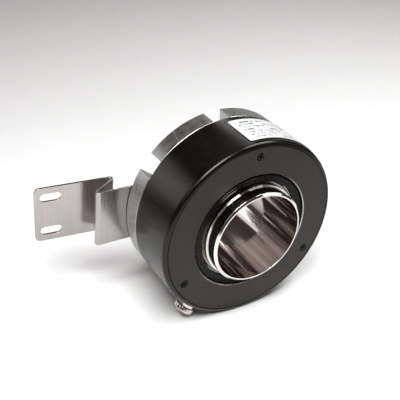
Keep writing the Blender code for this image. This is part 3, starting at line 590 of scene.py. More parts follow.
def rods(radius, front, rear, circle_radius, angles, segments=SMALL):
    """Cylinders along the shaft's direction, on a circle."""
    bm = bmesh.new()
    for angle in angles:
        rod = spun([(0.0, front), (radius, front), (radius, rear), (0.0, rear)], segments, closed=False)
        rod.transform(placed(polar(circle_radius, angle, 0.0), (0, 1, 0)))
        absorb(bm, rod)
    return bm


# ---------------------------------------------------------------------------------------------
# Screws


def thread_profile(radius, low, high, pitch):
    """Crests and roots of a thread between two heights, from the low end up."""
    depth = 0.45 * pitch
    count = int((high - low) / pitch)
    points = []
    for i in range(count):
        base = low + i * pitch
        points += [(radius - depth, base), (radius, base + 0.42 * pitch), (radius, base + 0.58 * pitch)]
    return points + [(radius - depth, low + count * pitch)]


def socket_screw(node, size, location, direction, knurls=0):
    """A screw with a hexagon socket, its head's seat at a location and facing a direction."""
    thread, length, head, head_height, key = size
    place = placed(location, direction)
    chamfer = 0.12 * head
    pitch = 0.3 * thread + 0.05 * MM
    segments = 2 * knurls if knurls else SMALL
    profile = [(0.0, -length), (thread - 1.2 * pitch, -length)]
    profile += thread_profile(thread, -length + 0.6 * pitch, -0.5 * pitch, pitch)
    profile += [(thread, -0.2 * pitch), (thread, 0.0), (head - 0.4 * chamfer, 0.0), (head, 0.4 * chamfer)]
    profile += [(head, head_height - chamfer)]
    profile += [(head - chamfer + chamfer * math.cos(t), head_height - chamfer + chamfer * math.sin(t))
                for t in (math.pi / 8, math.pi / 4, 3 * math.pi / 8)]
    profile += [(head - chamfer, head_height), (0.0, head_height)]

    def knurl(radius, height, turn):
        odd = round(turn / (2 * math.pi / segments)) % 2
        return radius * (0.955 if odd and radius > 0.99 * head else 1.0)

    bm = spun(profile, segments, closed=False, swell=knurl if knurls else None)
    bm.transform(place)
    screw = raw_object(node, bm)
    mouth = regular_outline(key)
    depth = 0.6 * head_height
    socket = plate(mouth, [], head_height - depth, head_height + MM, 0.0)
    socket.transform(place)
    carve(screw, socket)
    dress(screw, node, sharp=28.0)


def make_screws():
    for i, angle in enumerate(FACE_SCREWS, 1):
        seat = polar(FACE_SCREW_CIRCLE, angle, FACE_SCREW_FLOOR - GAP)
        socket_screw(f"front_screw_{i}", FACE_SCREW, seat, (0, -1, 0))
    for i, angle in enumerate(FLANGE_BOLTS, 1):
        seat = polar(FLANGE_BOLT_CIRCLE, angle, FLANGE_BOLT_SEAT + GAP)
        socket_screw(f"flange_bolt_{i}", FLANGE_BOLT, seat, (0, 1, 0), 36)
    for i, angle in enumerate(BOARD_SCREWS, 1):
        seat = polar(BOARD_SCREW_CIRCLE, angle, depths(f"board_screw_{i}")[0] + BOARD_SCREW[3])
        socket_screw(f"board_screw_{i}", BOARD_SCREW, seat, (0, -1, 0), 24)
    for i, side in enumerate((1, -1), 1):
        x, z = BRACKET_SCREW_X, side * BRACKET_SCREW_Z
        seat = (x, depths(f"bracket_screw_{i}")[1] - BRACKET_SCREW[3], z)
        socket_screw(f"bracket_screw_{i}", BRACKET_SCREW, seat, (0, 1, 0), 40)
        low, high = depths(f"bracket_washer_{i}")
        ring(f"bracket_washer_{i}", washer(M4 + GAP, 3.9 * MM, low, high), 0.18 * MM, segments=SMALL,
             place=placed((x, 0.0, z), (0, 1, 0)))


# ---------------------------------------------------------------------------------------------
# Housing: shell, front plate, seals


def make_housing_shell():
    edge = 2.2 * MM
    recess = FACE_RADIUS + GAP
    ledge = 3.3 * MM
    fillet = arc(edge, 0, -90, 12, (HOUSING_RADIUS - edge, edge))
    profile = [(HOUSING_RADIUS, HOUSING_REAR, 0.35 * MM)] + fillet[:-1]
    profile += [(recess + 0.12 * MM, 0.0, 0.0), (recess, 0.12 * MM, 0.0), (recess, ledge, FINE_EDGE)]
    profile += [(HOUSING_INNER, ledge, FINE_EDGE), (HOUSING_INNER, HOUSING_REAR, SOFT_EDGE)]
    shell = turned("housing_shell", profile, 0.3 * MM)
    boss_front = 15.5 * MM
    carve(shell, rods(BOSS_RADIUS, ledge - 0.1 * MM, 12.0 * MM, FACE_SCREW_CIRCLE + BOSS_OFFSET,
                      FACE_SCREWS), "UNION")
    carve(shell, rods(BOSS_RADIUS, boss_front, SPIGOT_FRONT - GAP, FLANGE_BOLT_CIRCLE + BOSS_OFFSET,
                      FLANGE_BOLTS), "UNION")
    carve(shell, rods(M2 + GAP, ledge - MM, 10.5 * MM, FACE_SCREW_CIRCLE, FACE_SCREWS))
    carve(shell, rods(M3 + GAP, boss_front + 1.3 * MM, SPIGOT_FRONT + MM, FLANGE_BOLT_CIRCLE, FLANGE_BOLTS))
    mouth = placed(polar(0.0, GLAND_ANGLE, GLAND_DEPTH), polar(1.0, GLAND_ANGLE, 0.0))
    carve(shell, drill(4.3 * MM, *mm(40, 56), HOUSING_RADIUS, 0.3 * MM, mouth))
    dress(shell, "housing_shell")


def make_front_plate():
    opening = 32.5 * MM
    thickness = 3.0 * MM
    hub_rear = depths("front_plate")[1]
    hub_outer = HUB_BORE + 2.7 * MM
    edge = 0.45 * MM
    profile = [
        (FACE_RADIUS, thickness, EDGE), (FACE_RADIUS, 0.0, 0.25 * MM), (opening + edge, 0.0, 0.0),
        (opening, edge, 0.0), (opening, thickness, EDGE), (HUB_BORE, thickness, FINE_EDGE),
        (HUB_BORE, hub_rear, SOFT_EDGE), (hub_outer, hub_rear, SOFT_EDGE), (hub_outer, thickness, SOFT_EDGE),
    ]
    made = turned("front_plate", profile, 0.2 * MM)
    for angle in FACE_SCREWS:
        mouth = placed(polar(FACE_SCREW_CIRCLE, angle, 0.0), (0, -1, 0))
        carve(made, drill(2.0 * MM, -FACE_SCREW_FLOOR, MM, 0.0, 0.22 * MM, mouth))
        carve(made, drill(M2 + GAP, -4 * MM, -MM, -2 * MM, 0.1 * MM, mouth))
    for face in made.data.polygons:
        x, y, z = face.center
        if abs(math.hypot(x, z) - opening - edge / 2) < 0.4 * edge and y < edge and abs(face.normal.y) < 0.95:
            face.material_index = 1
    dress(made, "front_plate", "black_plate", "bare_edge")


def make_seals():
    bead = [(r, 2.2 * MM - h) for r, h in arc(0.55 * MM, 20, 160, 6, mm(31.0, 1.1))]
    front = mm((32.2, 2.7, 0.1), (32.2, 1.25, 0.2)) + bead
    front += mm((29.9, 1.15, 0.2), (29.5, 1.15, 0.2), (29.3, 0.9, 0.15), (28.4, 1.05, 0.2), (27.9, 1.3, 0.1),
                (27.9, 2.7, 0.1))
    ring("front_seal_ring", front, FINE_EDGE, "seal")
    rear = mm((33.0, 39.5, 0.2), (33.0, 37.0, 0.2), (27.9, 37.0, 0.2), (27.9, 38.7, 0.1), (28.4, 39.4, 0.2),
              (29.4, 39.5, 0.2), (29.7, 39.1, 0.1), (31.4, 39.1, 0.1), (31.7, 39.5, 0.1))
    ring("rear_seal_ring", rear, FINE_EDGE, "seal")
    ring("flange_o_ring", circle(0.5 * MM, mm(45.2, 26.9), 16)[::-1])
    spring = spun(rounded(washer(*mm(33.5, 35.8, -0.2, 0.2)), 0.08 * MM))
    low, high = depths("wave_spring")
    swing = (high - low) / 2 - 0.2 * MM
    for vertex in spring.verts:
        vertex.co.z += (low + high) / 2 + swing * math.sin(4 * math.atan2(vertex.co.y, vertex.co.x))
    piece("wave_spring", spring, place=MAIN_AXIS)


# ---------------------------------------------------------------------------------------------
# Base flange


def notched_outline():
    """The flange's rim as seen from the front, with its notches."""
    points = []
    for i, angle in enumerate(NOTCHES):
        turn = math.radians(angle)
        along = Vector((math.cos(turn), math.sin(turn)))
        across = Vector((-along.y, along.x))
        mouth = math.sqrt(FLANGE_RADIUS**2 - NOTCH_HALF_WIDTH**2)
        corners = ((mouth, -1, 0.5), (NOTCH_FLOOR, -1, 0.9), (NOTCH_FLOOR, 1, 0.9), (mouth, 1, 0.5))
        for out, side, corner in corners:
            points.append((*(along * out + across * side * NOTCH_HALF_WIDTH), corner * MM))
        half = math.degrees(math.asin(NOTCH_HALF_WIDTH / FLANGE_RADIUS))
        start = angle + half
        end = NOTCHES[(i + 1) % len(NOTCHES)] - half + (360 if i == len(NOTCHES) - 1 else 0)
        steps = int((end - start) / 1.5)
        points += arc(FLANGE_RADIUS, start, end, steps)[1:-1]
    return rounded(points, 0.5 * MM, 4)


def make_base_flange():
    outline = [(x, -z) for x, z in notched_outline()]
    bm = plate(outline, [circle(37.6 * MM, steps=MEDIUM)], FLANGE_FRONT, FLANGE_REAR, 0.45 * MM)
    bm.transform(MAIN_AXIS)
    flange = raw_object("base_flange", bm)
    spigot, spigot_bore = HOUSING_INNER - GAP, 38.2 * MM
    groove_front, groove_rear, groove_floor = mm(26.2, 27.6, 44.4)  # for the O-ring
    lip_bore, lip_front = mm(33.3, 36.5)
    inner_end, rear = FLANGE_FRONT + 0.6 * MM, FLANGE_REAR - GAP  # the ring overlaps the notched plate
    hub = [
        (spigot, inner_end, 0.0), (spigot, groove_rear, FINE_EDGE), (groove_floor, groove_rear, FINE_EDGE),
        (groove_floor, groove_front, FINE_EDGE), (spigot, groove_front, FINE_EDGE),
        (spigot, SPIGOT_FRONT, 0.4 * MM),
        (HUB_BORE, SPIGOT_FRONT, SOFT_EDGE), (HUB_BORE, lip_front, FINE_EDGE), (lip_bore, lip_front, EDGE),
        (lip_bore, rear, 0.25 * MM), (spigot_bore, rear, 0.0), (spigot_bore, inner_end, 0.0),
    ]
    inside = spun(rounded(hub, EDGE), FINE)
    inside.transform(MAIN_AXIS)
    carve(flange, inside, "UNION")
    for angle in FLANGE_BOLTS:
        mouth = placed(polar(FLANGE_BOLT_CIRCLE, angle, 0.0), (0, 1, 0))
        carve(flange, drill(3.1 * MM, FLANGE_BOLT_SEAT, FLANGE_REAR + MM, FLANGE_REAR, 0.25 * MM, mouth))
        carve(flange, drill(M3 + GAP, SPIGOT_FRONT - MM, FLANGE_BOLT_SEAT + MM, FLANGE_BOLT_SEAT, FINE_EDGE,
                            mouth))
    for angle in BOARD_SCREWS:
        mouth = placed(polar(BOARD_SCREW_CIRCLE, angle, 0.0), (0, -1, 0))
        carve(flange, drill(M2 + GAP, -29 * MM, -SPIGOT_FRONT + MM, -SPIGOT_FRONT, 0.2 * MM, mouth))
    for side in (1, -1):
        mouth = placed(Vector((BRACKET_SCREW_X, 0.0, side * BRACKET_SCREW_Z)), (0, 1, 0))
        carve(flange, drill(M4 + GAP, 31 * MM, FLANGE_REAR + MM, FLANGE_REAR, 0.3 * MM, mouth))
    dress(flange, "base_flange")


# ---------------------------------------------------------------------------------------------
# Rotor


def make_hollow_shaft():
    front, rear = depths("hollow_shaft")
    profile = [
        (BORE_RADIUS, rear, 0.3), (26.3, rear, 0.3), (26.3, 40.7, 0.1), (27.0, 40.7, 0.2), (27.0, 36.1, 0.1),
        (26.3, 36.1, 0.1), (26.3, 34.5, 0.1), (27.2, 34.5, 0.1), (27.2, 24.9, 0.1), (29.5, 24.9, 0.2),
        (29.5, 18.2, 0.2), (27.2, 18.2, 0.1), (27.2, 2.9, 0.1), (26.3, 2.9, 0.1), (26.3, 0.1, 0.2),
        (25.6, 0.1, 0.15), (25.6, -5.9, 0.2), (24.7, front, 0.15), (BORE_RADIUS, front, 0.15),
    ]
    scaled = [(r if r == BORE_RADIUS else r * MM, y if y in (rear, front) else y * MM, c * MM)
              for r, y, c in profile]
    shaft = turned("hollow_shaft", scaled, 0.1 * MM, 4)
    slit_front = 42.5 * MM
    length = rear - slit_front + 2 * MM
    for angle in (45, 135, 225, 315):
        outwards = polar(1.0, angle, 0.0)
        turn = Matrix((outwards, (0, 1, 0), outwards.cross(Vector((0, 1, 0))))).transposed().to_4x4()
        centre = Matrix.Translation(polar(25.0 * MM, angle, slit_front + length / 2))
        carve(shaft, rounded_box((6 * MM, length, 1.4 * MM), centre @ turn, 0.3 * MM))
    dress(shaft, "hollow_shaft")


def make_bearing(prefix):
    front, rear = depths(f"{prefix}_bearing_outer_ring")
    middle = (front + rear) / 2
    bore, outer, ball = mm(27.5, 36.0, 2.2)
    pitch = (bore + outer) / 2
    land = 1.45 * MM
    groove = ball + GAP
    for side, wall, name in ((-1, bore, "inner"), (1, outer, "outer")):
        reach = math.degrees(math.acos(land / groove)) - 2
        turns = [math.radians(-reach + 2 * reach * i / 10) for i in range(11)]
        race = [(pitch + side * groove * math.cos(t), middle + groove * math.sin(t), 0.0) for t in turns]
        edge = pitch + side * land
        profile = [(wall, rear, 0.5 * MM), (wall, front, 0.5 * MM), (edge, front, EDGE)] + race
        profile += [(edge, rear, EDGE)]
        ring(f"{prefix}_bearing_{name}_ring", profile, 0.2 * MM, steps=4)
    count = 14
    cage = bmesh.new()
    balls = bmesh.new()
    for i in range(count):
        angle = 360 * i / count
        spot = Matrix.Translation(polar(pitch, angle, middle))
        bmesh.ops.create_icosphere(balls, subdivisions=3, radius=ball, matrix=spot)
    for side in (-1, 1):
        half = 0.45 * MM
        strip = washer(pitch - half, pitch + half, -0.25 * MM, 0.25 * MM)
        ribbon = spun(rounded(strip, FINE_EDGE), count * 14)
        for vertex in ribbon.verts:
            turn = math.atan2(vertex.co.y, vertex.co.x)
            away = pitch * ((turn * count / (2 * math.pi) + 0.5) % 1.0 - 0.5) * 2 * math.pi / count
            reach = ball + 0.3 * MM
            bulge = math.sqrt(max(0.0, reach**2 - away**2))
            vertex.co.z += middle + side * max(0.3 * MM, bulge)
        ribbon.transform(MAIN_AXIS)
        absorb(cage, ribbon)
    rivets = rods(0.5 * MM, middle - 0.75 * MM, middle + 0.75 * MM, pitch,
                  [360 * (i + 0.5) / count for i in range(count)], 12)
    absorb(cage, rivets)
    absorb(cage, second_finish(balls))
    piece(f"{prefix}_bearing_cage", cage, "brass", "bearing_steel")


def make_disc_group():
    edge = 0.15 * MM
    hub, carrier, bore = mm(29.5, 33.0, 27.5)
    front, rear = depths("disc_hub")
    disc_front, disc_rear = depths("code_disc")
    profile = [(bore, rear), (bore, front), (hub, front), (hub, front + MM), (carrier, front + MM),
               (carrier, disc_front - GAP), (hub, disc_front - GAP), (hub, rear)]
    ring("disc_hub", profile, edge)
    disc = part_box("code_disc")[1].x
    ring("code_disc", washer(hub + GAP, disc, disc_front, disc_rear), 0.12 * MM)
    low, high = depths("disc_clamp_ring")
    holes = [circle(hub + GAP, steps=MEDIUM)]
    holes += [circle(0.5 * MM, polar(31.4 * MM, a, 0.0).xz, 16) for a in range(15, 375, 60)]
    clamp = plate(circle(carrier, steps=MEDIUM), holes, low, high, edge)
    piece("disc_clamp_ring", clamp, place=MAIN_AXIS)


def make_retaining_ring():
    low, high = depths("retaining_ring")
    outline = arc(29.4 * MM, 18, 342, 90) + arc(26.6 * MM, 342, 18, 90)
    outline = rounded([(x, -z) for x, z in outline], 0.4 * MM)
    eyes = [circle(0.55 * MM, polar(28.0 * MM, a, 0.0).xz, 20) for a in (22, 338)]
    bm = plate(outline, [[(x, -z) for x, z in eye] for eye in eyes], low, high, 0.12 * MM)
    piece("retaining_ring", bm, place=MAIN_AXIS)


def make_clamp_ring():
    inner, outer = mm(26.6, 33.0)
    front, rear = depths("clamp_ring")
    middle = (front + rear) / 2
    profile = [(outer, rear, 0.5 * MM), (outer, front, 0.5 * MM), (inner, front, EDGE),
               (inner, rear, 0.4 * MM)]
    made = turned("clamp_ring", profile, 0.5 * MM)
    screw_x = 29.9 * MM
    carve(made, rounded_box(mm(12, 12, 1.6), Matrix.Translation((screw_x, middle, 0)), 0.1 * MM))
    up = placed((screw_x, middle, 0.0), (0, 0, 1))
    carve(made, drill(*mm(1.8, -20, 20, 19, 0.1), up))
    seat = 5.6 * MM
    carve(made, drill(3.1 * MM, seat, 22 * MM, 21 * MM, 0.1 * MM, up))
    dress(made, "clamp_ring")
    socket_screw("clamp_screw", CLAMP_SCREW, (screw_x, middle, seat + GAP), (0, 0, 1), 36)


# ---------------------------------------------------------------------------------------------
# Torque bracket


def make_torque_bracket():
    """Cut flat with its slots and holes, then folded along its path."""
    thickness, height, fold = mm(1.2, 31.2, 1.4)
    plan = [Vector(p) * MM for p in ((-34.2, 40.8), (-69.2, 40.8), (-49.7, 52.4), (-92.6, 56.6))]
    runs = []  # (length so far, start point, direction or fold centre, signed turn)
    at, along, start = 0.0, (plan[1] - plan[0]).normalized(), plan[0]
    cuts = []
    for before, corner, after in zip(plan, plan[1:], plan[2:]):
        away = (after - corner).normalized()
        turn = along.angle_signed(away)
        reach = fold * math.tan(abs(turn) / 2)
        length = (corner - along * reach - start).length
        runs.append(("straight", at, start, along, 0.0))
        at += length
        bend_start = start + along * length
        side = -1 if turn > 0 else 1
        centre = bend_start + Vector((-along.y, along.x)) * side * fold
        runs.append(("fold", at, bend_start, along, -turn, centre))
        sweep = abs(turn) * fold
        cuts += [at + sweep * i / 14 for i in range(15)]
        at += sweep
        start, along = corner + away * reach, away
    runs.append(("straight", at, start, along, 0.0))
    total = at + (plan[-1] - start).length

    def bent(s, offset):
        """Where a point of the flat strip goes: s along the strip, offset across its thickness."""
        run = [r for r in runs if r[1] <= s + 1e-12 or r is runs[0]][-1]
        kind, base, origin, direction, turn = run[:5]
        normal = Vector((-direction.y, direction.x))
        if kind == "straight":
            return origin + direction * (s - base) + normal * offset
        centre = run[5]
        part = (s - base) / fold * (1 if turn > 0 else -1)
        spoke = origin + normal * offset - centre
        spoke.rotate(Matrix.Rotation(part, 2))
        return centre + spoke

    half = height / 2
    fixed, free = mm(4.0, 3.0)
    outline = arc(free, 0, 90, 10, (total - free, half - free))
    outline += arc(fixed, 90, 180, 10, (fixed, half - fixed))
    outline += arc(fixed, 180, 270, 10, (fixed, fixed - half))
    outline += arc(free, 270, 360, 10, (total - free, free - half))
    last = runs[-1]
    slot_at = last[1] + (last[2].x - SLOT_X) / abs(last[3].x)
    slot_half, slot_radius = mm(3.25, 2.25)
    holes = []
    for side in (1, -1):
        middle = side * SLOT_Z
        holes.append(arc(slot_radius, -90, 90, 16, (slot_at + slot_half, middle))
                     + arc(slot_radius, 90, 270, 16, (slot_at - slot_half, middle)))
        holes.append(circle(M4 + GAP, (plan[0].x - BRACKET_SCREW_X, side * BRACKET_SCREW_Z), 32))
    bm = plate(outline, holes, -thickness / 2, thickness / 2, 0.14 * MM)
    slice_across(bm, cuts)
    for vertex in bm.verts:
        spot = bent(vertex.co.x, vertex.co.z)
        vertex.co = Vector((spot.x, spot.y, vertex.co.y))
    piece("torque_bracket", bm, sharp=28.0)


# ---------------------------------------------------------------------------------------------
# Label and gland


def make_label():
    """A film with round corners, bent round the housing."""
    low, high = depths("type_label")
    start, end = LABEL_ANGLES
    radius = HOUSING_RADIUS + 0.3 * MM
    length = math.radians(end - start) * radius
    outline = rounded([(0, low), (length, low), (length, high), (0, high)], 1.2 * MM, 6)
    bm = plate(outline, [], -0.1 * MM, 0.1 * MM, 0.04 * MM, 2)
    slice_across(bm, [length * i / 48 for i in range(1, 48)])
    for vertex in bm.verts:
        vertex.co = polar(radius + vertex.co.z, start + math.degrees(vertex.co.x / radius), vertex.co.y)
    piece("type_label", bm, sharp=50.0)


def hexagon(across, low, high, bore, crown=0.5 * MM):
    """A bmesh of a nut: a hexagon with a hole, its corners turned down at both ends."""
    flat = across / 2 - 0.05 * MM
    corner = across / 2 / math.cos(math.pi / 6) + 0.05 * MM
    nut = raw_object("nut", plate(regular_outline(across), [circle(bore)], low, high, 0.0))
    crowned = [(0, low), (flat, low), (corner, low + crown), (corner, high - crown), (flat, high), (0, high)]
    carve(nut, spun(crowned, MEDIUM, closed=False), "INTERSECT")
    bm = bmesh.new()
    bm.from_mesh(nut.data)
    bpy.data.objects.remove(nut)
    return bm


def make_gland():
    place = placed(polar(0.0, GLAND_ANGLE, GLAND_DEPTH), polar(1.0, GLAND_ANGLE, 0.0))
    thread, bore, outer, edge = mm(4.0, 2.7, 5.5, 0.25)
    seat = HOUSING_RADIUS + GAP
    flange_top = seat + 2.2 * MM
    end = 56.0 * MM
    inner_end = 42.4 * MM
    threads = thread_profile(thread, inner_end + 0.4 * MM, end - 2.0 * MM, 0.7 * MM)
    tube = [(bore, end - 1.6 * MM), (bore, inner_end)] + [(thread - 0.5 * MM, inner_end)] + threads
    tube += [(thread - 0.4 * MM, end - 1.6 * MM)]
    body = raw_object("gland_body", spun(tube, SMALL))
    carve(body, hexagon(9.6 * MM, seat, flange_top, bore + 0.6 * MM), "UNION")
    body.data.transform(place)
    dress(body, "gland_body", sharp=28.0)
    low = flange_top + GAP
    grip = end - 1.4 * MM
    dome = [(outer - 1.3 * MM + 1.3 * MM * math.cos(t), grip + 1.4 * MM * math.sin(t))
            for t in [math.pi / 2 * i / 8 for i in range(9)]]
    profile = [(outer - 0.2 * MM, low), (outer, low + 0.2 * MM)] + dome
    profile += [(bore + edge, end), (bore, end - edge), (bore, grip), (thread + edge, grip - 0.3 * MM),
                (thread + edge, low)]
    knurls = 30

    def grips(radius, height, turn):
        wave = 0.5 - 0.5 * math.cos(turn * knurls)
        return radius - (0.12 * MM * wave if radius > outer - 0.05 * MM and height < grip + 0.2 * MM else 0.0)

    bm = spun(profile, knurls * 6, swell=grips)
    piece("gland_nut", bm, place=place, sharp=40.0)
    hole = 1.5 * MM
    low, high = 50.5 * MM, end - 0.3 * MM
    ring("gland_seal", [(bore - edge, high), (bore - edge, low), (hole, low), (hole, end - 0.6 * MM),
                        (hole + 0.3 * MM, high)], FINE_EDGE, segments=SMALL, place=place)
    nut = hexagon(*mm(10.0, 43.0, 45.3), thread + edge)
    piece("gland_locknut", nut, place=place, sharp=28.0)


# ---------------------------------------------------------------------------------------------
# Scanning head and electronics


def seat_frame(radius, angle, depth):
    """The frame of a part on the board: local X outwards, Y sideways, Z towards the rear."""
    outwards = polar(1.0, angle, 0.0)
    sideways = Vector((0, 1, 0)).cross(outwards)
    turn = Matrix((outwards, sideways, (0, 1, 0))).transposed().to_4x4()
    return Matrix.Translation(polar(radius, angle, depth)) @ turn


def make_main_board():
    low, high = depths("main_board")
    outer, inner = HOUSING_INNER - 0.5 * MM, 30.5 * MM
    holes = [circle(inner, steps=MEDIUM)]
    for angle in BOARD_SCREWS:
        spot = polar(BOARD_SCREW_CIRCLE, angle, 0)
        holes.append(circle(M2 + GAP, (spot.x, -spot.z), 24))
    bm = plate(circle(outer, steps=MEDIUM), holes, low, high, 0.08 * MM, 2)
    bm.transform(MAIN_AXIS)
    board = raw_object("main_board", bm)
    carve(board, rods(BOSS_RADIUS + 2 * GAP, low - MM, high + MM, FLANGE_BOLT_CIRCLE + BOSS_OFFSET,
                      FLANGE_BOLTS))
    dress(board, "main_board")
    for i, angle in enumerate(BOARD_SCREWS, 1):
        front, rear = depths(f"board_standoff_{i}")
        outline = rounded(regular_outline(4.2 * MM), SOFT_EDGE)
        bm = plate(outline, [circle(M2 + GAP, steps=24)], front, rear, 0.15 * MM)
        piece(f"board_standoff_{i}", bm, place=placed(polar(BOARD_SCREW_CIRCLE, angle, 0.0), (0, 1, 0)))


def make_chip(node, size, radius, angle, depth, pins):
    """A moulded package with a row of gull-wing leads on each side, at a depth that is its middle."""
    radial, across, height = size
    place = seat_frame(radius, angle, depth)
    lead_out = 0.45 * MM
    bm = rounded_box((radial - 2 * lead_out, across, 0.86 * height), shifted(place, 0, 0, -0.07 * height),
                     0.12 * MM)
    dot = spun([(0, -height / 2 - 0.02 * MM), (0.3 * MM, -height / 2 - 0.02 * MM), (0.3 * MM, 0), (0, 0)], 16,
               closed=False)
    dot.transform(shifted(place, -0.28 * radial, 0.36 * across, 0))
    absorb(bm, dot)
    leads = bmesh.new()
    for i in range(pins):
        y = (i - (pins - 1) / 2) * 0.86 * across / pins
        wide = 0.45 * across / pins
        for side in (-1, 1):
            for size, out, up in (((1.2 * lead_out, wide, 0.12 * MM), 0.4, 0.44),
                                  ((0.12 * MM, wide, 0.45 * height), 0.1, 0.24)):
                spot = (side * (radial / 2 - lead_out + out * lead_out), y, up * height)
                absorb(leads, rounded_box(size, shifted(place, *spot), 0.02 * MM, 1))
    absorb(bm, second_finish(leads))
    piece(node, bm, "chip", "solder")


def make_chips():
    seat = depths("main_board")[0] - GAP
    for node, size, angle, pins in (
        ("processor_chip", (5.6, 7.0, 1.2), 90, 8), ("line_driver_chip", (4.6, 9.0, 1.5), 150, 8),
        ("regulator_chip", (5.0, 6.0, 1.8), 205, 3),
    ):
        size = [side * MM for side in size]
        make_chip(node, size, CHIP_RADIUS, angle, seat - size[2] / 2, pins)
    low = 18.0 * MM
    make_chip("sensor_chip", (5.0 * MM, 8.0 * MM, seat - low), TRACK_RADIUS, HEAD_ANGLE, (seat + low) / 2, 6)


def make_cable_header():
    """A moulded tub with a gap in its outer wall and six pins."""
    radial, across, height = mm(5.0, 12.0, 5.0)
    place = seat_frame(CHIP_RADIUS, 262, depths("main_board")[0] - GAP - height / 2)
    tub = raw_object("cable_header", rounded_box((radial, across, height), place, 0.35 * MM))
    for size, spot in (
        ((radial - 1.6 * MM, across - 1.8 * MM, height), (0, 0, -1.2 * MM)),
        ((2 * MM, 3.0 * MM, height), (radial / 2, 0, -2.6 * MM)),
    ):
        carve(tub, rounded_box(size, shifted(place, *spot), 0.2 * MM))
    bm = bmesh.new()
    bm.from_mesh(tub.data)
    bpy.data.objects.remove(tub)
    pins = bmesh.new()
    for i in range(6):
        spot = (0, (i - 2.5) * 1.5 * MM, -0.1 * MM)
        absorb(pins, rounded_box(mm(0.6, 0.6, 3.2), shifted(place, *spot), 0.1 * MM, 1))
    absorb(bm, second_finish(pins))
    piece("cable_header", bm, "moulding", "brass")


def make_capacitor():
    """A metal can with a rolled groove, on a moulded base."""
    height, radius, groove, crimp, base = mm(4.6, 2.3, 2.12, 0.25, 0.8)
    can = [(0, -height), (radius - crimp, -height), (radius, crimp - height), (radius, -1.9 * MM),
           (groove, -1.65 * MM), (radius, -1.4 * MM), (radius, -0.9 * MM), (0, -0.9 * MM)]
    bm = spun(can, SMALL, closed=False)
    pad = rounded_box((6 * base, 6 * base, base), Matrix.Translation((0, 0, -base / 2)), 0.3 * MM)
    absorb(bm, second_finish(pad))
    place = seat_frame(CHIP_RADIUS, 325, depths("main_board")[0] - GAP)
    piece("filter_capacitor", bm, "zinc_screw", "chip", place=place)


def make_scanning_head():
    low, high = mm(12.9, 14.1)
    place = seat_frame(TRACK_RADIUS + 0.4 * MM, HEAD_ANGLE, (low + high) / 2)
    holder = raw_object("led_holder", rounded_box((5.4 * MM, 9.0 * MM, high - low), place, 0.25 * MM))
    for side in (-1, 1):
        carve(holder, drill(0.6 * MM, -2 * MM, 2 * MM, (high - low) / 2, 0.15 * MM,
                            shifted(place, 0, side * 3.3 * MM, 0), 24))
    dress(holder, "led_holder")
    turns = [math.pi / 16 * i for i in range(8)]
    dome = [(1.2 * MM * math.cos(t), 0.5 * MM * math.sin(t) - 0.1 * MM) for t in turns]
    rim = 1.55 * MM
    lens = spun([(0, -0.4 * MM), (rim, -0.4 * MM), (rim, -0.1 * MM)] + dome + [(0, 0.4 * MM)], SMALL,
                closed=False)
    piece("led_lens", lens, place=seat_frame(TRACK_RADIUS, HEAD_ANGLE, 14.8 * MM))
    low, high = mm(17.0, 17.7)
    place = seat_frame(TRACK_RADIUS, HEAD_ANGLE, (low + high) / 2)
    piece("mask_plate", rounded_box((4.4 * MM, 7.0 * MM, high - low), place, 0.08 * MM))


# ---------------------------------------------------------------------------------------------
# Stage: floor, light, camera


def make_stage():
    bm = bmesh.new()
    bmesh.ops.create_grid(bm, x_segments=1, y_segments=1, size=4.0)
    floor = raw_object("floor", bm)
    floor.location.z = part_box("housing_shell")[0].z - 0.05 * MM
    m = Nodes("floor_paper")
    grain = m.noise(m.place, 60.0, 3.0)
    paper = m.blend(m.ramp(grain, 0.3, 0.7), (0.80, 0.80, 0.80), (0.82, 0.82, 0.82))
    floor.data.materials.append(m.finish(Base_Color=paper, Roughness=0.7, Specular_IOR_Level=0.1))

    world = bpy.data.worlds.new("studio")
    world.use_nodes = True
    world.node_tree.nodes["Background"].inputs["Color"].default_value = (0.090, 0.078, 0.072, 1.0)
    bpy.context.scene.world = world


def make_light(name, location, target, size, power):
    light = bpy.data.lights.new(name, "AREA")
    light.shape = "RECTANGLE"
    light.size, light.size_y = size
    light.energy = power
    made = bpy.data.objects.new(name, light)
    made.matrix_world = placed(location, Vector(location) - Vector(target))
    bpy.context.scene.collection.objects.link(made)
    return made


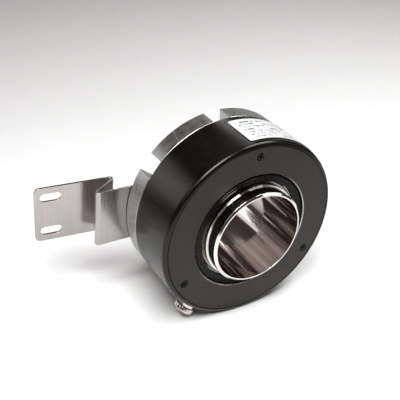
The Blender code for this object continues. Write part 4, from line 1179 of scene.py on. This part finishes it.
def make_panel(name, location, along, size, power):
    """A panel that faces the encoder and lights little else; along is the direction of its first size."""
    made = make_light(name, location, (0.0, 0.0, 0.0), size, power)
    made.data.spread = math.radians(80)
    away = Vector(location).normalized()
    across = away.cross(Vector(along)).normalized()
    turn = Matrix((across.cross(away), across, away)).transposed().to_4x4()
    made.matrix_world = Matrix.Translation(location) @ turn


def make_lights():
    make_light("overhead", (0.30, 0.0, 0.50), (0.30, 0.0, 0.0), (0.34, 0.30), 3.0)
    make_light("overhead_front", (-0.17, -0.15, 0.40), (-0.17, -0.15, 0.0), (0.26, 0.26), 3.4)
    make_light("fill_left", (-0.40, -0.05, 0.30), (-0.10, 0.02, -0.05), (0.20, 0.20), 0.20)
    make_panel("front_right", (0.525, -0.288, 0.364), (0.475, 0.335, -0.419), (0.50, 0.08), 0.045)
    make_panel("back_right", (0.39, 0.74, 0.55), (0.88, -0.47, 0.0), (0.16, 0.12), 0.040)
    make_panel("back_left", (-0.577, 0.794, 0.22), (0.81, 0.59, 0.0), (0.25, 0.56), 0.150)
    make_panel("back_high", (-0.02, 0.587, 0.825), (1.0, 0.0, 0.0), (0.80, 0.26), 0.055)
    make_panel("backdrop_right", (0.70, 0.70, 0.16), (0.7, -0.7, 0.0), (0.36, 0.40), 0.032)
    make_panel("lamp", (-0.801, 0.846, 0.30), (0.055, 0.057, 0.36), (0.36, 0.045), 0.035)


def make_camera():
    camera = bpy.data.cameras.new("camera")
    camera.sensor_width = 36.0
    camera.lens = 71.7
    camera.clip_start = 0.01
    made = bpy.data.objects.new("camera", camera)
    right = Vector((0.85481, -0.51302, 0.07813)).normalized()
    back = Vector((-0.47069, -0.70311, 0.533)).normalized()
    turn = Matrix((right, back.cross(right), back)).transposed().to_4x4()
    made.matrix_world = Matrix.Translation((-0.20701, -0.26080, 0.22469)) @ turn
    bpy.context.scene.collection.objects.link(made)
    bpy.context.scene.camera = made


make_camera()
make_screws()
make_housing_shell()
make_front_plate()
make_seals()
make_base_flange()
make_hollow_shaft()
make_bearing("front")
make_bearing("rear")
make_disc_group()
make_retaining_ring()
make_clamp_ring()
make_torque_bracket()
make_label()
make_gland()
make_main_board()
make_chips()
make_cable_header()
make_capacitor()
make_scanning_head()
make_stage()
make_lights()
bpy.context.scene.view_settings.view_transform = "Standard"
